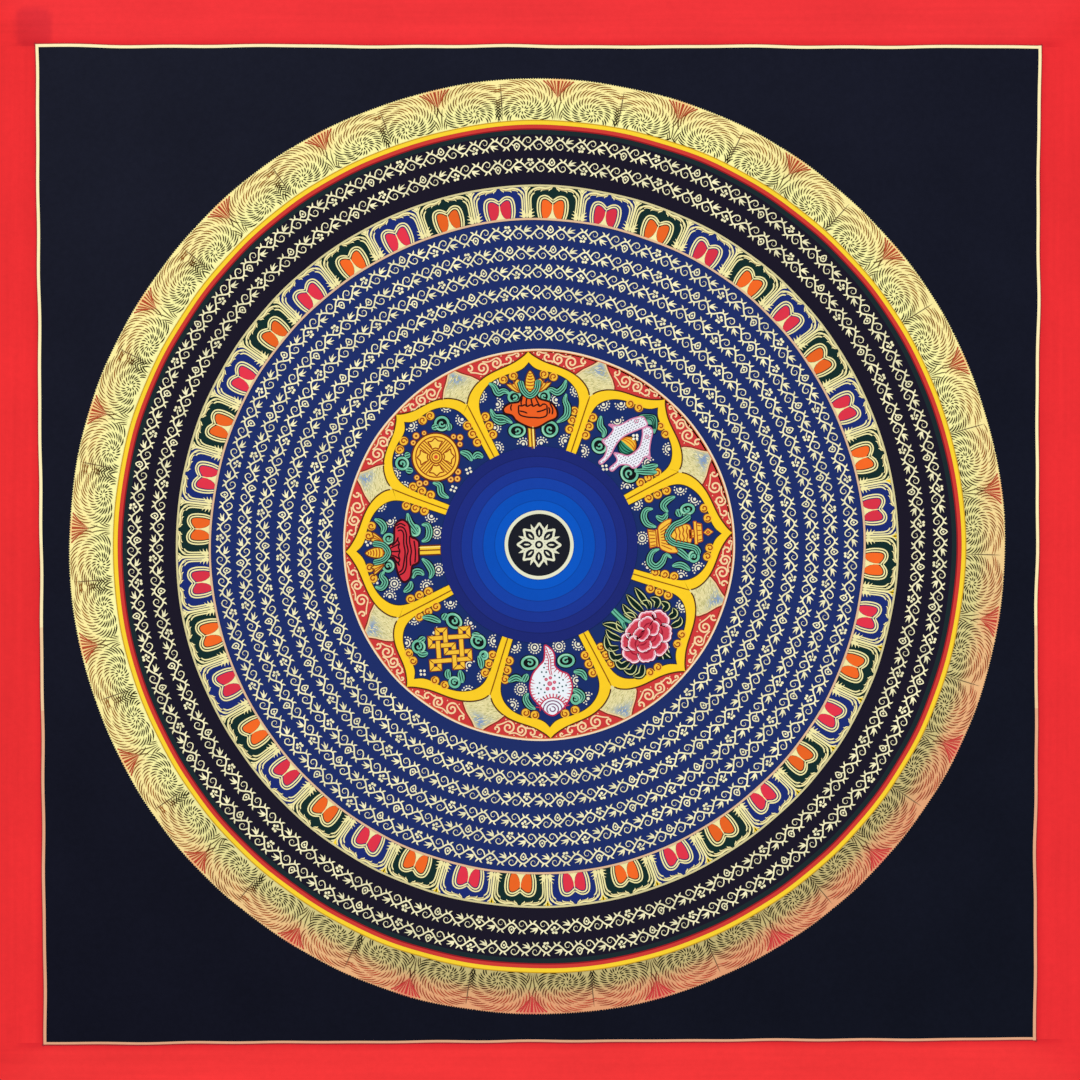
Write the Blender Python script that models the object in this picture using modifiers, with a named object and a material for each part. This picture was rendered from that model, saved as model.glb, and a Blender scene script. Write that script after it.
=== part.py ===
"""A square painted canvas sheet that lies flat, face up, on a surface.

Metres, +Z up.  The origin is the centre of the sheet's underside, the
painting's top edge is towards +Y and its right edge towards +X.  The sheet
is one piece of primed cotton: the coloured ground, the border line and the
whole painted pattern are paint on it, so they have no solid of their own.
"""
import math

import bmesh
import bpy

# Driving dimensions, in metres.
SHEET_WIDTH = 0.510            # cut width, left to right
SHEET_HEIGHT = 0.510           # cut height, bottom to top
SHEET_THICKNESS = 0.0012       # cotton, primed with glue and chalk on both faces

# How far each hand-cut edge strays from its straight line.
EDGE_STRAY = 0.0007
EDGE_FALL_IN = 0.060           # how deep into the sheet the stray still shows
CORNER_WEAR = 0.0012           # how far a handled corner is drawn in

# How finely the sheet is divided, and the soft wear of its rim.
CELLS_PER_SIDE = 28
RIM_ROUNDING = 0.00035
RIM_SEGMENTS = 2
RIM_ANGLE = math.radians(50)

COLLECTION_NAME = "painted_canvas"
NODE_NAME = "canvas_sheet"

# Full bows along each edge, and the shift that makes the four edges unlike.
EDGE_WAVES = {
    "right": (1.5, 0.4),
    "left": (2.0, 2.1),
    "top": (1.2, 1.3),
    "bottom": (1.8, 3.7),
}

PAINT_COLOUR = (0.115, 0.062, 0.070, 1.0)
PAINT_ROUGHNESS = 0.82


def clear_scene():
    """Remove every object that the file starts with."""
    for obj in list(bpy.data.objects):
        bpy.data.objects.remove(obj, do_unlink=True)


def new_collection(name):
    """Add a collection to the scene and return it."""
    collection = bpy.data.collections.new(name)
    bpy.context.scene.collection.children.link(collection)
    return collection


def painted_cotton():
    """Make the matt material of the painted, primed cotton."""
    material = bpy.data.materials.new("painted_cotton")
    material.use_nodes = True
    shader = material.node_tree.nodes["Principled BSDF"]
    shader.inputs["Base Color"].default_value = PAINT_COLOUR
    shader.inputs["Roughness"].default_value = PAINT_ROUGHNESS
    shader.inputs["Metallic"].default_value = 0.0
    material.diffuse_color = PAINT_COLOUR
    return material


def edge_stray(edge, along):
    """Give how far an edge strays outwards at a place from -1 to 1 along it."""
    bows, shift = EDGE_WAVES[edge]
    slow = math.sin(bows * math.pi * along + shift)
    quick = math.sin(3.3 * bows * math.pi * along + 2.0 * shift)
    return EDGE_STRAY * (0.75 * slow + 0.25 * quick)


def fall_in(distance):
    """Fade an edge's stray from 1 at the edge to 0 at EDGE_FALL_IN inside it."""
    reach = min(1.0, max(0.0, distance / EDGE_FALL_IN))
    return (1.0 - reach) ** 2


def shape_outline(mesh_data):
    """Move a rectangular grid's points so that its outline looks cut by hand."""
    half_width = 0.5 * SHEET_WIDTH - EDGE_STRAY
    half_height = 0.5 * SHEET_HEIGHT - EDGE_STRAY
    for vert in mesh_data.verts:
        across, along = 2.0 * vert.co.x, 2.0 * vert.co.y
        side = "right" if across > 0.0 else "left"
        end = "top" if along > 0.0 else "bottom"
        vert.co.x = across * half_width
        vert.co.y = along * half_height
        side_gap = half_width - abs(vert.co.x)
        end_gap = half_height - abs(vert.co.y)
        side_shift = edge_stray(side, along) * fall_in(side_gap)
        end_shift = edge_stray(end, across) * fall_in(end_gap)
        wear = CORNER_WEAR * fall_in(4.0 * side_gap) * fall_in(4.0 * end_gap)
        vert.co.x += math.copysign(side_shift - wear, across)
        vert.co.y += math.copysign(end_shift - wear, along)


def fit_to_size(mesh_data):
    """Centre the outline on the origin and give it the exact cut size."""
    for axis, size in ((0, SHEET_WIDTH), (1, SHEET_HEIGHT)):
        reach = [vert.co[axis] for vert in mesh_data.verts]
        middle = 0.5 * (min(reach) + max(reach))
        scale = size / (max(reach) - min(reach))
        for vert in mesh_data.verts:
            vert.co[axis] = (vert.co[axis] - middle) * scale


def canvas_sheet(collection, material):
    """Make the sheet: a divided square given its thickness and a worn rim."""
    mesh_data = bmesh.new()
    bmesh.ops.create_grid(
        mesh_data,
        x_segments=CELLS_PER_SIDE,
        y_segments=CELLS_PER_SIDE,
        size=0.5,
    )
    shape_outline(mesh_data)
    fit_to_size(mesh_data)
    mesh = bpy.data.meshes.new(NODE_NAME)
    mesh_data.to_mesh(mesh)
    mesh_data.free()
    mesh.materials.append(material)

    sheet = bpy.data.objects.new(NODE_NAME, mesh)
    collection.objects.link(sheet)

    thickness = sheet.modifiers.new("thickness", "SOLIDIFY")
    thickness.thickness = SHEET_THICKNESS
    thickness.offset = 1.0
    thickness.use_even_offset = True

    rim = sheet.modifiers.new("rim", "BEVEL")
    rim.width = RIM_ROUNDING
    rim.segments = RIM_SEGMENTS
    rim.limit_method = "ANGLE"
    rim.angle_limit = RIM_ANGLE
    mesh.shade_smooth()
    return sheet


def main():
    """Build the part."""
    clear_scene()
    collection = new_collection(COLLECTION_NAME)
    canvas_sheet(collection, painted_cotton())


main()
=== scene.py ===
"""A painted mandala canvas: mineral paint and gold lines on primed cotton.

Lengths are millimetres on the sheet as it is seen from above, with x to the
right and y to the painting's top edge; finished meshes are in metres.  Turns
are degrees clockwise from the top.  Colours are display values from 0 to 255
until a mesh is made, which holds them as linear light.
"""
from __future__ import annotations

import logging
import math
from dataclasses import dataclass, field
from enum import Enum, IntEnum
from typing import Callable, Iterable, Sequence

import bpy
import numpy as np
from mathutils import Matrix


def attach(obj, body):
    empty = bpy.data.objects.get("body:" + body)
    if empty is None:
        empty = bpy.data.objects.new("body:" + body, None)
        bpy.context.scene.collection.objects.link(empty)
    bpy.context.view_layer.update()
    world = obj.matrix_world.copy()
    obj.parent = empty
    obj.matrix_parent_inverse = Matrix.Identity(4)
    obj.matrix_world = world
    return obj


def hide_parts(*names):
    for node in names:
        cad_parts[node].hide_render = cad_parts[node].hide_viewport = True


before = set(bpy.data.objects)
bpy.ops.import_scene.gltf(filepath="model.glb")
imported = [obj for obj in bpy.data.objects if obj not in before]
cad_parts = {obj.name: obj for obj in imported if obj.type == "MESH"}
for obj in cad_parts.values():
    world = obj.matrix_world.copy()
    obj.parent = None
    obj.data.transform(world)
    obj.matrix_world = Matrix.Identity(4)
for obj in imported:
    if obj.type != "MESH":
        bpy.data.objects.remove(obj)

LOG = logging.getLogger("painted_canvas")
BODY = "root"
CANVAS_NODE = "canvas_sheet"

METRES = 0.001                     # metres in a millimetre
FULL_TURN = 360.0
PAINT_STEP = 0.04                  # from one coat of paint to the next
COAT_SINK = 0.9                    # share of a step that a coat's edge falls
PATCH_RIM = 0.10                   # width of a painted patch's falling edge
RING_CENTRE = (-1.37, -3.01)       # of the outer rings, drawn with one compass
HEART_CENTRE = (-0.54, -2.36)      # of the middle disc and its petals
STROKE_STEPS = (3, 6, 12, 24, 48, 96, 192)
WEAVE_DEPTH = 0.00015              # metres that bare threads seem to stand proud
PAINT_DEPTH = 0.00012              # the same where they are painted over


class Level(IntEnum):
    """Coats of paint, counted up from the primed cotton."""

    GROUND = 1
    BAND = 2
    CELL = 3
    PEARL = 4
    SHADE = 5
    SHAPE = 6
    LINE = 7
    SCARF = 8
    FOLD = 9
    FIGURE = 10
    DETAIL = 11
    LIGHT = 12
    GLAZE = 13


class Pigment(Enum):
    """The painter's colours."""

    PALE_GOLD = (250, 243, 196)
    LINE_GOLD = (255, 240, 185)
    # the line gold as it looks in painted shade, lower down the border line
    SHADED_ROSE_GOLD = (228, 168, 130)
    RING_GOLD = (214, 203, 148)
    YELLOW = (250, 212, 50)
    SCARLET = (208, 60, 52)
    CRIMSON = (150, 22, 34)
    PINE = (27, 42, 46)
    PLUM_BLACK = (26, 22, 38)
    LAPIS = (30, 46, 104)
    LOTUS_GREEN = (18, 44, 42)
    LOTUS_BLUE = (28, 44, 114)
    LOTUS_ORANGE = (238, 102, 36)
    LOTUS_RED = (222, 52, 72)
    FRAME_YELLOW = (252, 206, 38)
    BROWN = (118, 58, 22)
    MEDALLION_RED = (208, 58, 58)
    PETAL_BLUE = (26, 46, 104)
    SAND = (230, 218, 158)
    SKY_PATCH = (122, 150, 196)
    CREAM = (244, 214, 160)
    PEARL = (250, 248, 226)
    BLACK = (16, 18, 22)
    TEAL = (112, 190, 158)
    PALE_TEAL = (176, 226, 190)
    DEEP_GREEN = (14, 76, 62)
    FOLD_TEAL = (8, 48, 46)
    FIGURE_BROWN = (110, 50, 24)

    @property
    def rgb(self) -> np.ndarray:
        """Give the colour's display values as an array."""
        return np.array(self.value, float)


Array = np.ndarray
Spot = tuple[float, float]
Socket = bpy.types.NodeSocket
Piece = bpy.types.Object
Colour = Pigment | Array | tuple
Line = Sequence[Spot] | Array


def rgb_of(colour: Colour) -> Array:
    """Give display values, whether a pigment or a mixed colour is meant."""
    return colour.rgb if isinstance(colour, Pigment) else np.asarray(colour, float)


def mixed(first: Colour, second: Colour, share: float | Array) -> Array:
    """Mix two colours.

    Args:
        first: colour at a share of 0.
        second: colour at a share of 1.
        share: one share, or an array of them.

    Returns:
        Display values, one row for each share.
    """
    share = np.asarray(share, float)[..., None]
    return rgb_of(first) * (1.0 - share) + rgb_of(second) * share


def linear_light(rgb: Array) -> Array:
    """Turn display values from 0 to 255 into linear light from 0 to 1."""
    share = np.clip(rgb, 0.0, 255.0) / 255.0
    return np.where(share <= 0.04045, share / 12.92, ((share + 0.055) / 1.055) ** 2.4)


def eased(low: float, high: float, value: Array | float) -> Array:
    """Rise smoothly from 0 at the low value to 1 at the high one."""
    share = np.clip((np.asarray(value, float) - low) / (high - low), 0.0, 1.0)
    return share * share * (3.0 - 2.0 * share)


def coat_height(level: float, fall: Array | float = 0.0) -> Array | float:
    """Give a coat's height above the cotton where its edge has fallen by a share."""
    return PAINT_STEP * (level - COAT_SINK * fall)


def length_of(path: Array) -> float:
    """Give the length of a broken line."""
    return float(np.linalg.norm(np.diff(path, axis=0), axis=1).sum())


def unit(way: Array) -> Array:
    """Give a way's direction, with a length of 1."""
    return way / np.linalg.norm(way)


# ---------------------------------------------------------------- lines


def evenly(points: Line, count: int) -> Array:
    """Space points evenly along a broken line.

    Args:
        points: the line's corners.
        count: how many points are wanted.

    Returns:
        An array of count rows.
    """
    points = np.asarray(points, float)
    gaps = np.linalg.norm(np.diff(points, axis=0), axis=1)
    reach = np.concatenate([[0.0], np.cumsum(gaps)])
    wanted = np.linspace(0.0, reach[-1], count)
    return np.stack([np.interp(wanted, reach, points[:, i]) for i in (0, 1)], 1)


def smooth_line(points: Line, closed: bool = False, spans: int = 8) -> Array:
    """Run a smooth curve through given points.

    A point given twice makes a corner.

    Args:
        points: the points that the curve goes through.
        closed: whether it returns to its start.
        spans: pieces between two points.

    Returns:
        The curve's points; a closed one repeats its first point at its end.
    """
    given = np.asarray(points, float)
    if len(given) < 3:
        return given
    if closed:
        padded = np.vstack([given[-1], given, given[0], given[1]])
    else:
        padded = np.vstack([given[0], given, given[-1]])
    before, start, end, after = (padded[i:len(padded) - 3 + i] for i in range(4))
    share = (np.arange(spans) / spans)[:, None, None]
    curve = 0.5 * (
        2.0 * start
        + (end - before) * share
        + (2.0 * before - 5.0 * start + 4.0 * end - after) * share**2
        + (3.0 * start - before - 3.0 * end + after) * share**3
    )
    curve = curve.transpose(1, 0, 2).reshape(-1, 2)
    return np.vstack([curve, given[0] if closed else given[-1]])


def around(turn: Array, across: float | Array, up: float | Array | None = None) -> Array:
    """Give places at turns from the top, in radians, round the frame's origin.

    Args:
        turn: the turns, clockwise.
        across: how far away they are, or how far across on an ellipse.
        up: how far upwards on an ellipse.

    Returns:
        Places, with x and y in the last column.
    """
    up = across if up is None else up
    return np.stack([across * np.sin(turn), up * np.cos(turn)], -1)


def arc(centre: Spot, radii: float | Spot, start: float, end: float,
        count: int = 25) -> Array:
    """Lay points along part of a circle or ellipse.

    Args:
        centre: its middle.
        radii: its radius, or its radii across and upwards.
        start: turn at which it starts, clockwise from the top.
        end: turn at which it ends.
        count: how many points are wanted.

    Returns:
        An array of points.
    """
    across, up = radii if isinstance(radii, tuple) else (radii, radii)
    return around(np.radians(np.linspace(start, end, count)), across, up) + centre


def spiral(centre: Spot, radius: float, start: float, turns: float,
           count: int = 25, inner: float = 0.18) -> Array:
    """Wind a line in towards a centre.

    Args:
        centre: the middle of the winding.
        radius: where it starts.
        start: the turn at which it starts, clockwise from the top.
        turns: full turns, clockwise where positive.
        count: how many points are wanted.
        inner: share of the radius at which it ends.

    Returns:
        An array of points from the outside in.
    """
    share = np.linspace(0.0, 1.0, count)
    turn = np.radians(start + FULL_TURN * turns * share)
    return around(turn, radius * (1.0 - (1.0 - inner) * share)) + centre


def fan_out(points: Line) -> Array:
    """Turn rows of a turn and a radius into places round a centre."""
    turn, reach = np.asarray(points, float).T
    return around(np.radians(turn), reach)


def beside(path: Line, gap: float) -> Array:
    """Give the line that runs beside another, to its right for a positive gap.

    Args:
        path: the line that is followed.
        gap: how far beside it.

    Returns:
        The line beside it, point for point.
    """
    path = np.asarray(path, float)
    ahead = np.gradient(path, axis=0)
    ahead /= np.maximum(np.linalg.norm(ahead, axis=1, keepdims=True), 1e-9)
    return path + gap * np.stack([ahead[:, 1], -ahead[:, 0]], 1)


def mirrored(points: Line, side: int = -1) -> Array:
    """Turn a line over left to right where the side is -1."""
    return np.asarray(points, float) * (side, 1.0)


# --------------------------------------------------------------- places


@dataclass(frozen=True)
class Place:
    """A spot on the sheet: local y points away from a centre, x clockwise."""

    centre: Spot = (0.0, 0.0)
    turn: float = 0.0
    reach: float = 0.0
    bent: bool = False
    side: int = 1

    def lay(self, points: Array) -> Array:
        """Carry local points onto the sheet.

        Args:
            points: rows of local x and y.

        Returns:
            Places on the sheet.
        """
        x, y = self.side * points[:, 0], points[:, 1] + self.reach
        turn = math.radians(self.turn) + (x / self.reach if self.bent else 0.0 * x)
        x = 0.0 * x if self.bent else x
        east = self.centre[0] + y * np.sin(turn) + x * np.cos(turn)
        north = self.centre[1] + y * np.cos(turn) - x * np.sin(turn)
        return np.stack([east, north], 1)


# ------------------------------------------------ blanks shaped by hand


@dataclass(frozen=True)
class Blank:
    """A shape modelled once and copied: its points and its triangles."""

    points: Array
    triangles: Array

    def rows(self, count: int, axis: int = 1) -> Array:
        """Give each point's row on a grid from -1 to 1 that has count faces along an axis."""
        return np.rint((self.points[:, axis] + 1.0) * 0.5 * count).astype(int)


def vertex_places(mesh: bpy.types.Mesh) -> Array:
    """Read the places of a mesh's points.

    Args:
        mesh: the mesh.

    Returns:
        One row of x, y and z for each point.
    """
    points = np.empty(3 * len(mesh.vertices))
    mesh.vertices.foreach_get("co", points)
    return points.reshape(-1, 3)


def new_grid(columns: int, rows: int) -> Piece:
    """Add a divided square from -1 to 1, by itself in the selection.

    Args:
        columns: faces along x.
        rows: faces along y.

    Returns:
        The new object.
    """
    bpy.ops.object.select_all(action="DESELECT")
    bpy.ops.mesh.primitive_grid_add(x_subdivisions=columns, y_subdivisions=rows, size=2.0)
    return bpy.context.object


def new_disc(sides: int, fill: str) -> Piece:
    """Add a round face of radius 1, by itself in the selection.

    Args:
        sides: corners round it.
        fill: how Blender fills it.

    Returns:
        The new object.
    """
    bpy.ops.object.select_all(action="DESELECT")
    bpy.ops.mesh.primitive_circle_add(vertices=sides, radius=1.0, fill_type=fill)
    return bpy.context.object


class Bench:
    """Models the blanks with Blender's own tools and keeps each one."""

    def __init__(self) -> None:
        """Start with no blanks."""
        self.kept: dict[tuple, Blank] = {}

    @staticmethod
    def take_up() -> Blank:
        """Read the active object as a blank and clear it off the bench.

        Returns:
            The blank.
        """
        bpy.ops.object.mode_set(mode="EDIT")
        bpy.ops.mesh.select_all(action="SELECT")
        bpy.ops.mesh.quads_convert_to_tris(quad_method="BEAUTY", ngon_method="BEAUTY")
        bpy.ops.object.mode_set(mode="OBJECT")
        mesh = bpy.context.object.data
        triangles = np.empty(3 * len(mesh.polygons), np.int32)
        mesh.polygons.foreach_get("vertices", triangles)
        blank = Blank(vertex_places(mesh), triangles.reshape(-1, 3))
        bpy.data.objects.remove(bpy.context.object, do_unlink=True)
        bpy.data.meshes.remove(mesh)
        return blank

    @staticmethod
    def lift(chosen: Callable[[bpy.types.MeshVertex], bool]) -> None:
        """Lift points of the active object by 1.

        Args:
            chosen: tells whether a point is lifted.
        """
        bpy.ops.object.mode_set(mode="EDIT")
        bpy.ops.mesh.select_all(action="DESELECT")
        bpy.ops.object.mode_set(mode="OBJECT")
        for vertex in bpy.context.object.data.vertices:
            vertex.select = chosen(vertex)
        bpy.ops.object.mode_set(mode="EDIT")
        bpy.ops.transform.translate(value=(0.0, 0.0, 1.0))
        bpy.ops.object.mode_set(mode="OBJECT")

    def grid(self, columns: int, rows: int, crowned: bool = False) -> Blank:
        """Model a divided strip, flat or with its middle line raised.

        Args:
            columns: faces along x, from -1 to 1.
            rows: faces along y, from -1 to 1.
            crowned: whether the middle column is lifted by 1.

        Returns:
            The blank.
        """
        key = ("grid", columns, rows, crowned)
        if key not in self.kept:
            new_grid(columns, rows)
            if crowned:
                self.lift(lambda vertex: abs(vertex.co.x) < 0.5)
            self.kept[key] = self.take_up()
        return self.kept[key]

    def dome(self, sides: int) -> Blank:
        """Model a drop of paint with a raised middle.

        Args:
            sides: corners round it.

        Returns:
            The blank.
        """
        key = ("dome", sides)
        if key not in self.kept:
            new_disc(sides, "TRIFAN")
            self.lift(lambda vertex: vertex.co.length < 0.5)
            self.kept[key] = self.take_up()
        return self.kept[key]

    def patch(self, outline: Array) -> Blank:
        """Model a flat patch whose rim falls by 1 to its outline.

        Args:
            outline: points round the patch, without a repeat of the first.

        Returns:
            The blank, its top at height 0 and its outline at -1.
        """
        ahead = np.roll(outline, -1, axis=0)
        turned = float((outline[:, 0] * ahead[:, 1] - ahead[:, 0] * outline[:, 1]).sum())
        outline = outline if turned > 0.0 else outline[::-1]
        lowered = np.column_stack([outline, np.full(len(outline), -1.0)])
        new_disc(len(outline), "NGON").data.vertices.foreach_set("co", lowered.ravel())
        bpy.ops.object.mode_set(mode="EDIT")
        bpy.ops.mesh.select_all(action="SELECT")
        bpy.ops.mesh.inset(thickness=PATCH_RIM, depth=0.0)
        bpy.ops.transform.translate(value=(0.0, 0.0, 1.0))
        bpy.ops.object.mode_set(mode="OBJECT")
        return self.take_up()


BENCH = Bench()


# ------------------------------------------------------------- drawing


class Tip(Enum):
    """How a brush stroke's width runs from its start to its end."""

    EVEN = "even"
    ROUND = "round"
    BLUNT = "blunt"
    LEAF = "leaf"
    TAIL = "tail"
    SPEAR = "spear"
    FLARE = "flare"

    def widths(self, count: int) -> Array:
        """Give the share of full width at each of count points.

        Args:
            count: how many points the stroke has.

        Returns:
            The share at each point.
        """
        along = np.linspace(0.0, 1.0, count)
        if self is Tip.EVEN:
            return np.ones(count)
        if self is Tip.ROUND:
            ends = np.minimum(along, 1.0 - along) * (count - 1)
            return np.where(ends < 0.5, 0.5, 1.0)
        if self is Tip.BLUNT:
            return np.maximum(np.sin(np.pi * along) ** 0.45, 0.25)
        if self is Tip.FLARE:
            return 0.3 + 0.7 * along
        if self is Tip.LEAF:
            return np.maximum(np.sin(np.pi * along) ** 0.75, 0.12)
        if self is Tip.TAIL:
            return np.maximum((1.0 - along) ** 0.6, 0.12) * np.where(along > 0.0, 1.0, 0.6)
        return np.maximum(np.sin(np.pi * along**0.6) ** 0.7, 0.15)


@dataclass
class Sketch:
    """Strokes and patches in one local frame, ready to be laid anywhere."""

    points: list[Array] = field(default_factory=list)
    triangles: list[Array] = field(default_factory=list)
    colours: list[Array] = field(default_factory=list)
    levels: list[Array] = field(default_factory=list)
    rounded: list[Array] = field(default_factory=list)
    size: int = 0

    def keep(self, points: Array, triangles: Array, colours: Array,
             level: Level, rounded: bool) -> None:
        """Add one shape.

        Args:
            points: rows of x, y and height in millimetres.
            triangles: rows of three point numbers.
            colours: one row of display values, or one for each point.
            level: the coat it belongs to.
            rounded: whether it is shaded smooth.
        """
        self.points.append(points)
        self.triangles.append(triangles + self.size)
        self.colours.append(np.broadcast_to(colours, (len(points), 3)))
        self.levels.append(np.full(len(points), int(level)))
        self.rounded.append(np.full(len(triangles), rounded))
        self.size += len(points)

    def copies(self, flat: Array, blank: Blank, colour: Colour, level: Level) -> None:
        """Add many crowned copies of a blank.

        Args:
            flat: the places of each copy's points.
            blank: what is copied.
            colour: one colour, or an array with one row for each copy.
            level: the coat they belong to.
        """
        many, size = flat.shape[:2]
        height = coat_height(level, 1.0 - blank.points[:, 2])
        points = np.dstack([flat, np.broadcast_to(height, (many, size))])
        shift = (np.arange(many) * size)[:, None, None]
        colours = np.broadcast_to(rgb_of(colour), (many, 3))
        self.keep(points.reshape(-1, 3), (blank.triangles + shift).reshape(-1, 3),
                  np.repeat(colours, size, axis=0), level, True)

    def coat(self, flat: Array, blank: Blank, colours: Array, level: Level,
             sunk: float = 0.0) -> None:
        """Lay one copy of a blank as a flat coat.

        Args:
            flat: the places of its points.
            blank: what is copied.
            colours: one row of display values for each point.
            level: the coat it belongs to.
            sunk: share of a step that it lies lower.
        """
        height = np.full(len(flat), PAINT_STEP * (level - sunk))
        self.keep(np.column_stack([flat, height]), blank.triangles, colours, level, False)

    def path(self, points: Array, width: float, colour: Colour,
             level: Level = Level.LINE, tip: Tip = Tip.EVEN) -> None:
        """Draw one stroke through all the points as they are."""
        self.strokes(points[None], width, colour, level, tip)

    def strokes(self, lines: Array, width: float | Array, colour: Colour,
                level: Level = Level.LINE, tip: Tip = Tip.ROUND) -> None:
        """Copy the crowned stroke blank along many lines at once.

        Args:
            lines: an array of lines, each with the same number of points.
            width: full width, or one for each line.
            colour: one colour, or an array with one row for each line.
            level: the coat it belongs to.
            tip: how the width runs.
        """
        lines = np.asarray(lines, float)
        many, count = lines.shape[:2]
        blank = BENCH.grid(2, count - 1, crowned=True)
        ahead = np.gradient(lines, axis=1)
        if tip is Tip.EVEN and np.allclose(lines[:, 0], lines[:, -1]):
            ahead[:, 0] = ahead[:, -1] = lines[:, 1] - lines[:, -2]
        ahead /= np.maximum(np.linalg.norm(ahead, axis=2, keepdims=True), 1e-9)
        right = np.stack([ahead[..., 1], -ahead[..., 0]], 2)
        across = blank.points[:, 0]
        row = blank.rows(count - 1)
        half = 0.5 * np.asarray(width, float).reshape(-1, 1) * tip.widths(count)
        half = np.broadcast_to(half, (many, count))
        flat = lines[:, row] + right[:, row] * (half[:, row] * across)[..., None]
        self.copies(flat, blank, colour, level)

    def line(self, points: Line, width: float, colour: Colour,
             level: Level = Level.LINE, tip: Tip = Tip.ROUND, smooth: bool = True,
             closed: bool = False, fine: float = 0.9) -> None:
        """Draw one stroke.

        Args:
            points: the points that it passes.
            width: its full width.
            colour: its colour.
            level: the coat it belongs to.
            tip: how the width runs.
            smooth: whether it curves through the points.
            closed: whether it returns to its start.
            fine: length of one step along it.
        """
        path = np.asarray(points, float)
        if smooth:
            path = smooth_line(path, closed)
        elif closed:
            path = np.vstack([path, path[0]])
        length = length_of(path)
        steps = next((s for s in STROKE_STEPS if s * fine >= length), STROKE_STEPS[-1])
        tip = Tip.EVEN if closed else tip
        self.path(evenly(path, steps + 1), width, colour, level, tip)

    def shape(self, outline: Line, colour: Colour, level: Level = Level.SHAPE,
              smooth: bool = True, fine: float = 0.9,
              shade: Callable[[Array], Array] | None = None) -> None:
        """Fill an outline with one flat coat.

        Args:
            outline: points round it, without a repeat of the first.
            colour: its colour.
            level: the coat it belongs to.
            smooth: whether the outline curves through the points.
            fine: length of one step round it.
            shade: gives the colours from the points, in place of one colour.
        """
        rim = np.asarray(outline, float)
        if smooth:
            rim = smooth_line(rim, closed=True)
            rim = evenly(rim, int(np.clip(length_of(rim) / fine, 10, 160)) + 1)[:-1]
        blank = BENCH.patch(rim)
        points = blank.points.copy()
        points[:, 2] = coat_height(level, -points[:, 2])
        colours = shade(points) if shade else rgb_of(colour)
        self.keep(points, blank.triangles, colours, level, False)

    def ribbon(self, first: Line, second: Line, colour: Colour, level: Level) -> None:
        """Copy a flat strip blank between two edges.

        Args:
            first: one edge.
            second: the other, with the same number of points.
            colour: its colour.
            level: the coat it belongs to.
        """
        first, across = np.asarray(first, float), np.asarray(second, float) - first
        blank = BENCH.grid(3, len(first) - 1)
        row, column = blank.rows(len(first) - 1), blank.rows(3, axis=0)
        wide = np.maximum(np.linalg.norm(across, axis=1), 1e-9)
        rim = np.minimum(PATCH_RIM / wide, 0.4)
        share = np.stack([0.0 * rim, rim, 1.0 - rim, 1.0 + 0.0 * rim])[column, row]
        flat = first[row] + across[row] * share[:, None]
        height = coat_height(level, (column == 0) | (column == 3))
        self.keep(np.column_stack([flat, height]), blank.triangles, rgb_of(colour), level,
                  False)

    def dots(self, centres: Line, radius: float, colour: Colour,
             level: Level = Level.LINE, sides: int = 10) -> None:
        """Set drops of paint.

        Args:
            centres: one point for each drop.
            radius: their radius.
            colour: one colour, or a row for each drop.
            level: the coat they belong to.
            sides: corners round a drop.
        """
        centres = np.asarray(centres, float).reshape(-1, 2)
        blank = BENCH.dome(sides)
        self.copies(centres[:, None] + blank.points[None, :, :2] * radius, blank, colour, level)

    def loop(self, centre: Spot, radius: float | Spot, width: float, colour: Colour,
             level: Level = Level.LINE, steps: int = 12) -> None:
        """Draw a ring.

        Args:
            centre: its middle.
            radius: its radius, or its radii across and upwards.
            width: width of the line.
            colour: its colour.
            level: the coat it belongs to.
            steps: steps round it.
        """
        ring = arc(centre, radius, 0.0, FULL_TURN, steps + 1)
        self.path(ring, width, colour, level)

    def band(self, inner: float, outer: float, level: Level, rows: int = 1,
             columns: int = 720, colour: Colour = Pigment.BLACK,
             shade: Callable[[Array, Array], Array] | None = None) -> None:
        """Bend a divided strip into a ring round the frame's origin.

        Args:
            inner: inner radius.
            outer: outer radius.
            level: the coat it belongs to.
            rows: faces from the inner edge to the outer one.
            columns: faces round it.
            colour: its colour.
            shade: gives colours from turns and the share of the way outwards.
        """
        blank = BENCH.grid(columns, rows + 2)
        turn = 180.0 * (blank.points[:, 0] + 1.0)
        row = blank.rows(rows + 2)
        share = np.clip((row - 1.0) / rows, 0.0, 1.0)
        edge = np.where(row == 0, -1.0, np.where(row == rows + 2, 1.0, 0.0))
        reach = inner + (outer - inner) * share + edge * PATCH_RIM
        flat = around(np.radians(turn), reach)
        points = np.column_stack([flat, coat_height(level, np.abs(edge))])
        colours = shade(turn, share) if shade else rgb_of(colour)
        self.keep(points, blank.triangles[:, ::-1], colours, level, False)


def hand_drift(points: Array) -> Array:
    """Shift points on the sheet a little, as a hand wanders from the compass.

    Args:
        points: places on the sheet.

    Returns:
        The same places, a little off.
    """
    x, y = points[:, 0], points[:, 1]
    east = 0.16 * np.sin(0.061 * y + 0.9) + 0.09 * np.sin(0.173 * x + 0.11 * y)
    north = 0.16 * np.sin(0.057 * x + 2.2) + 0.09 * np.sin(0.161 * y - 0.12 * x + 1.0)
    return points + np.stack([east, north], 1)


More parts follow.
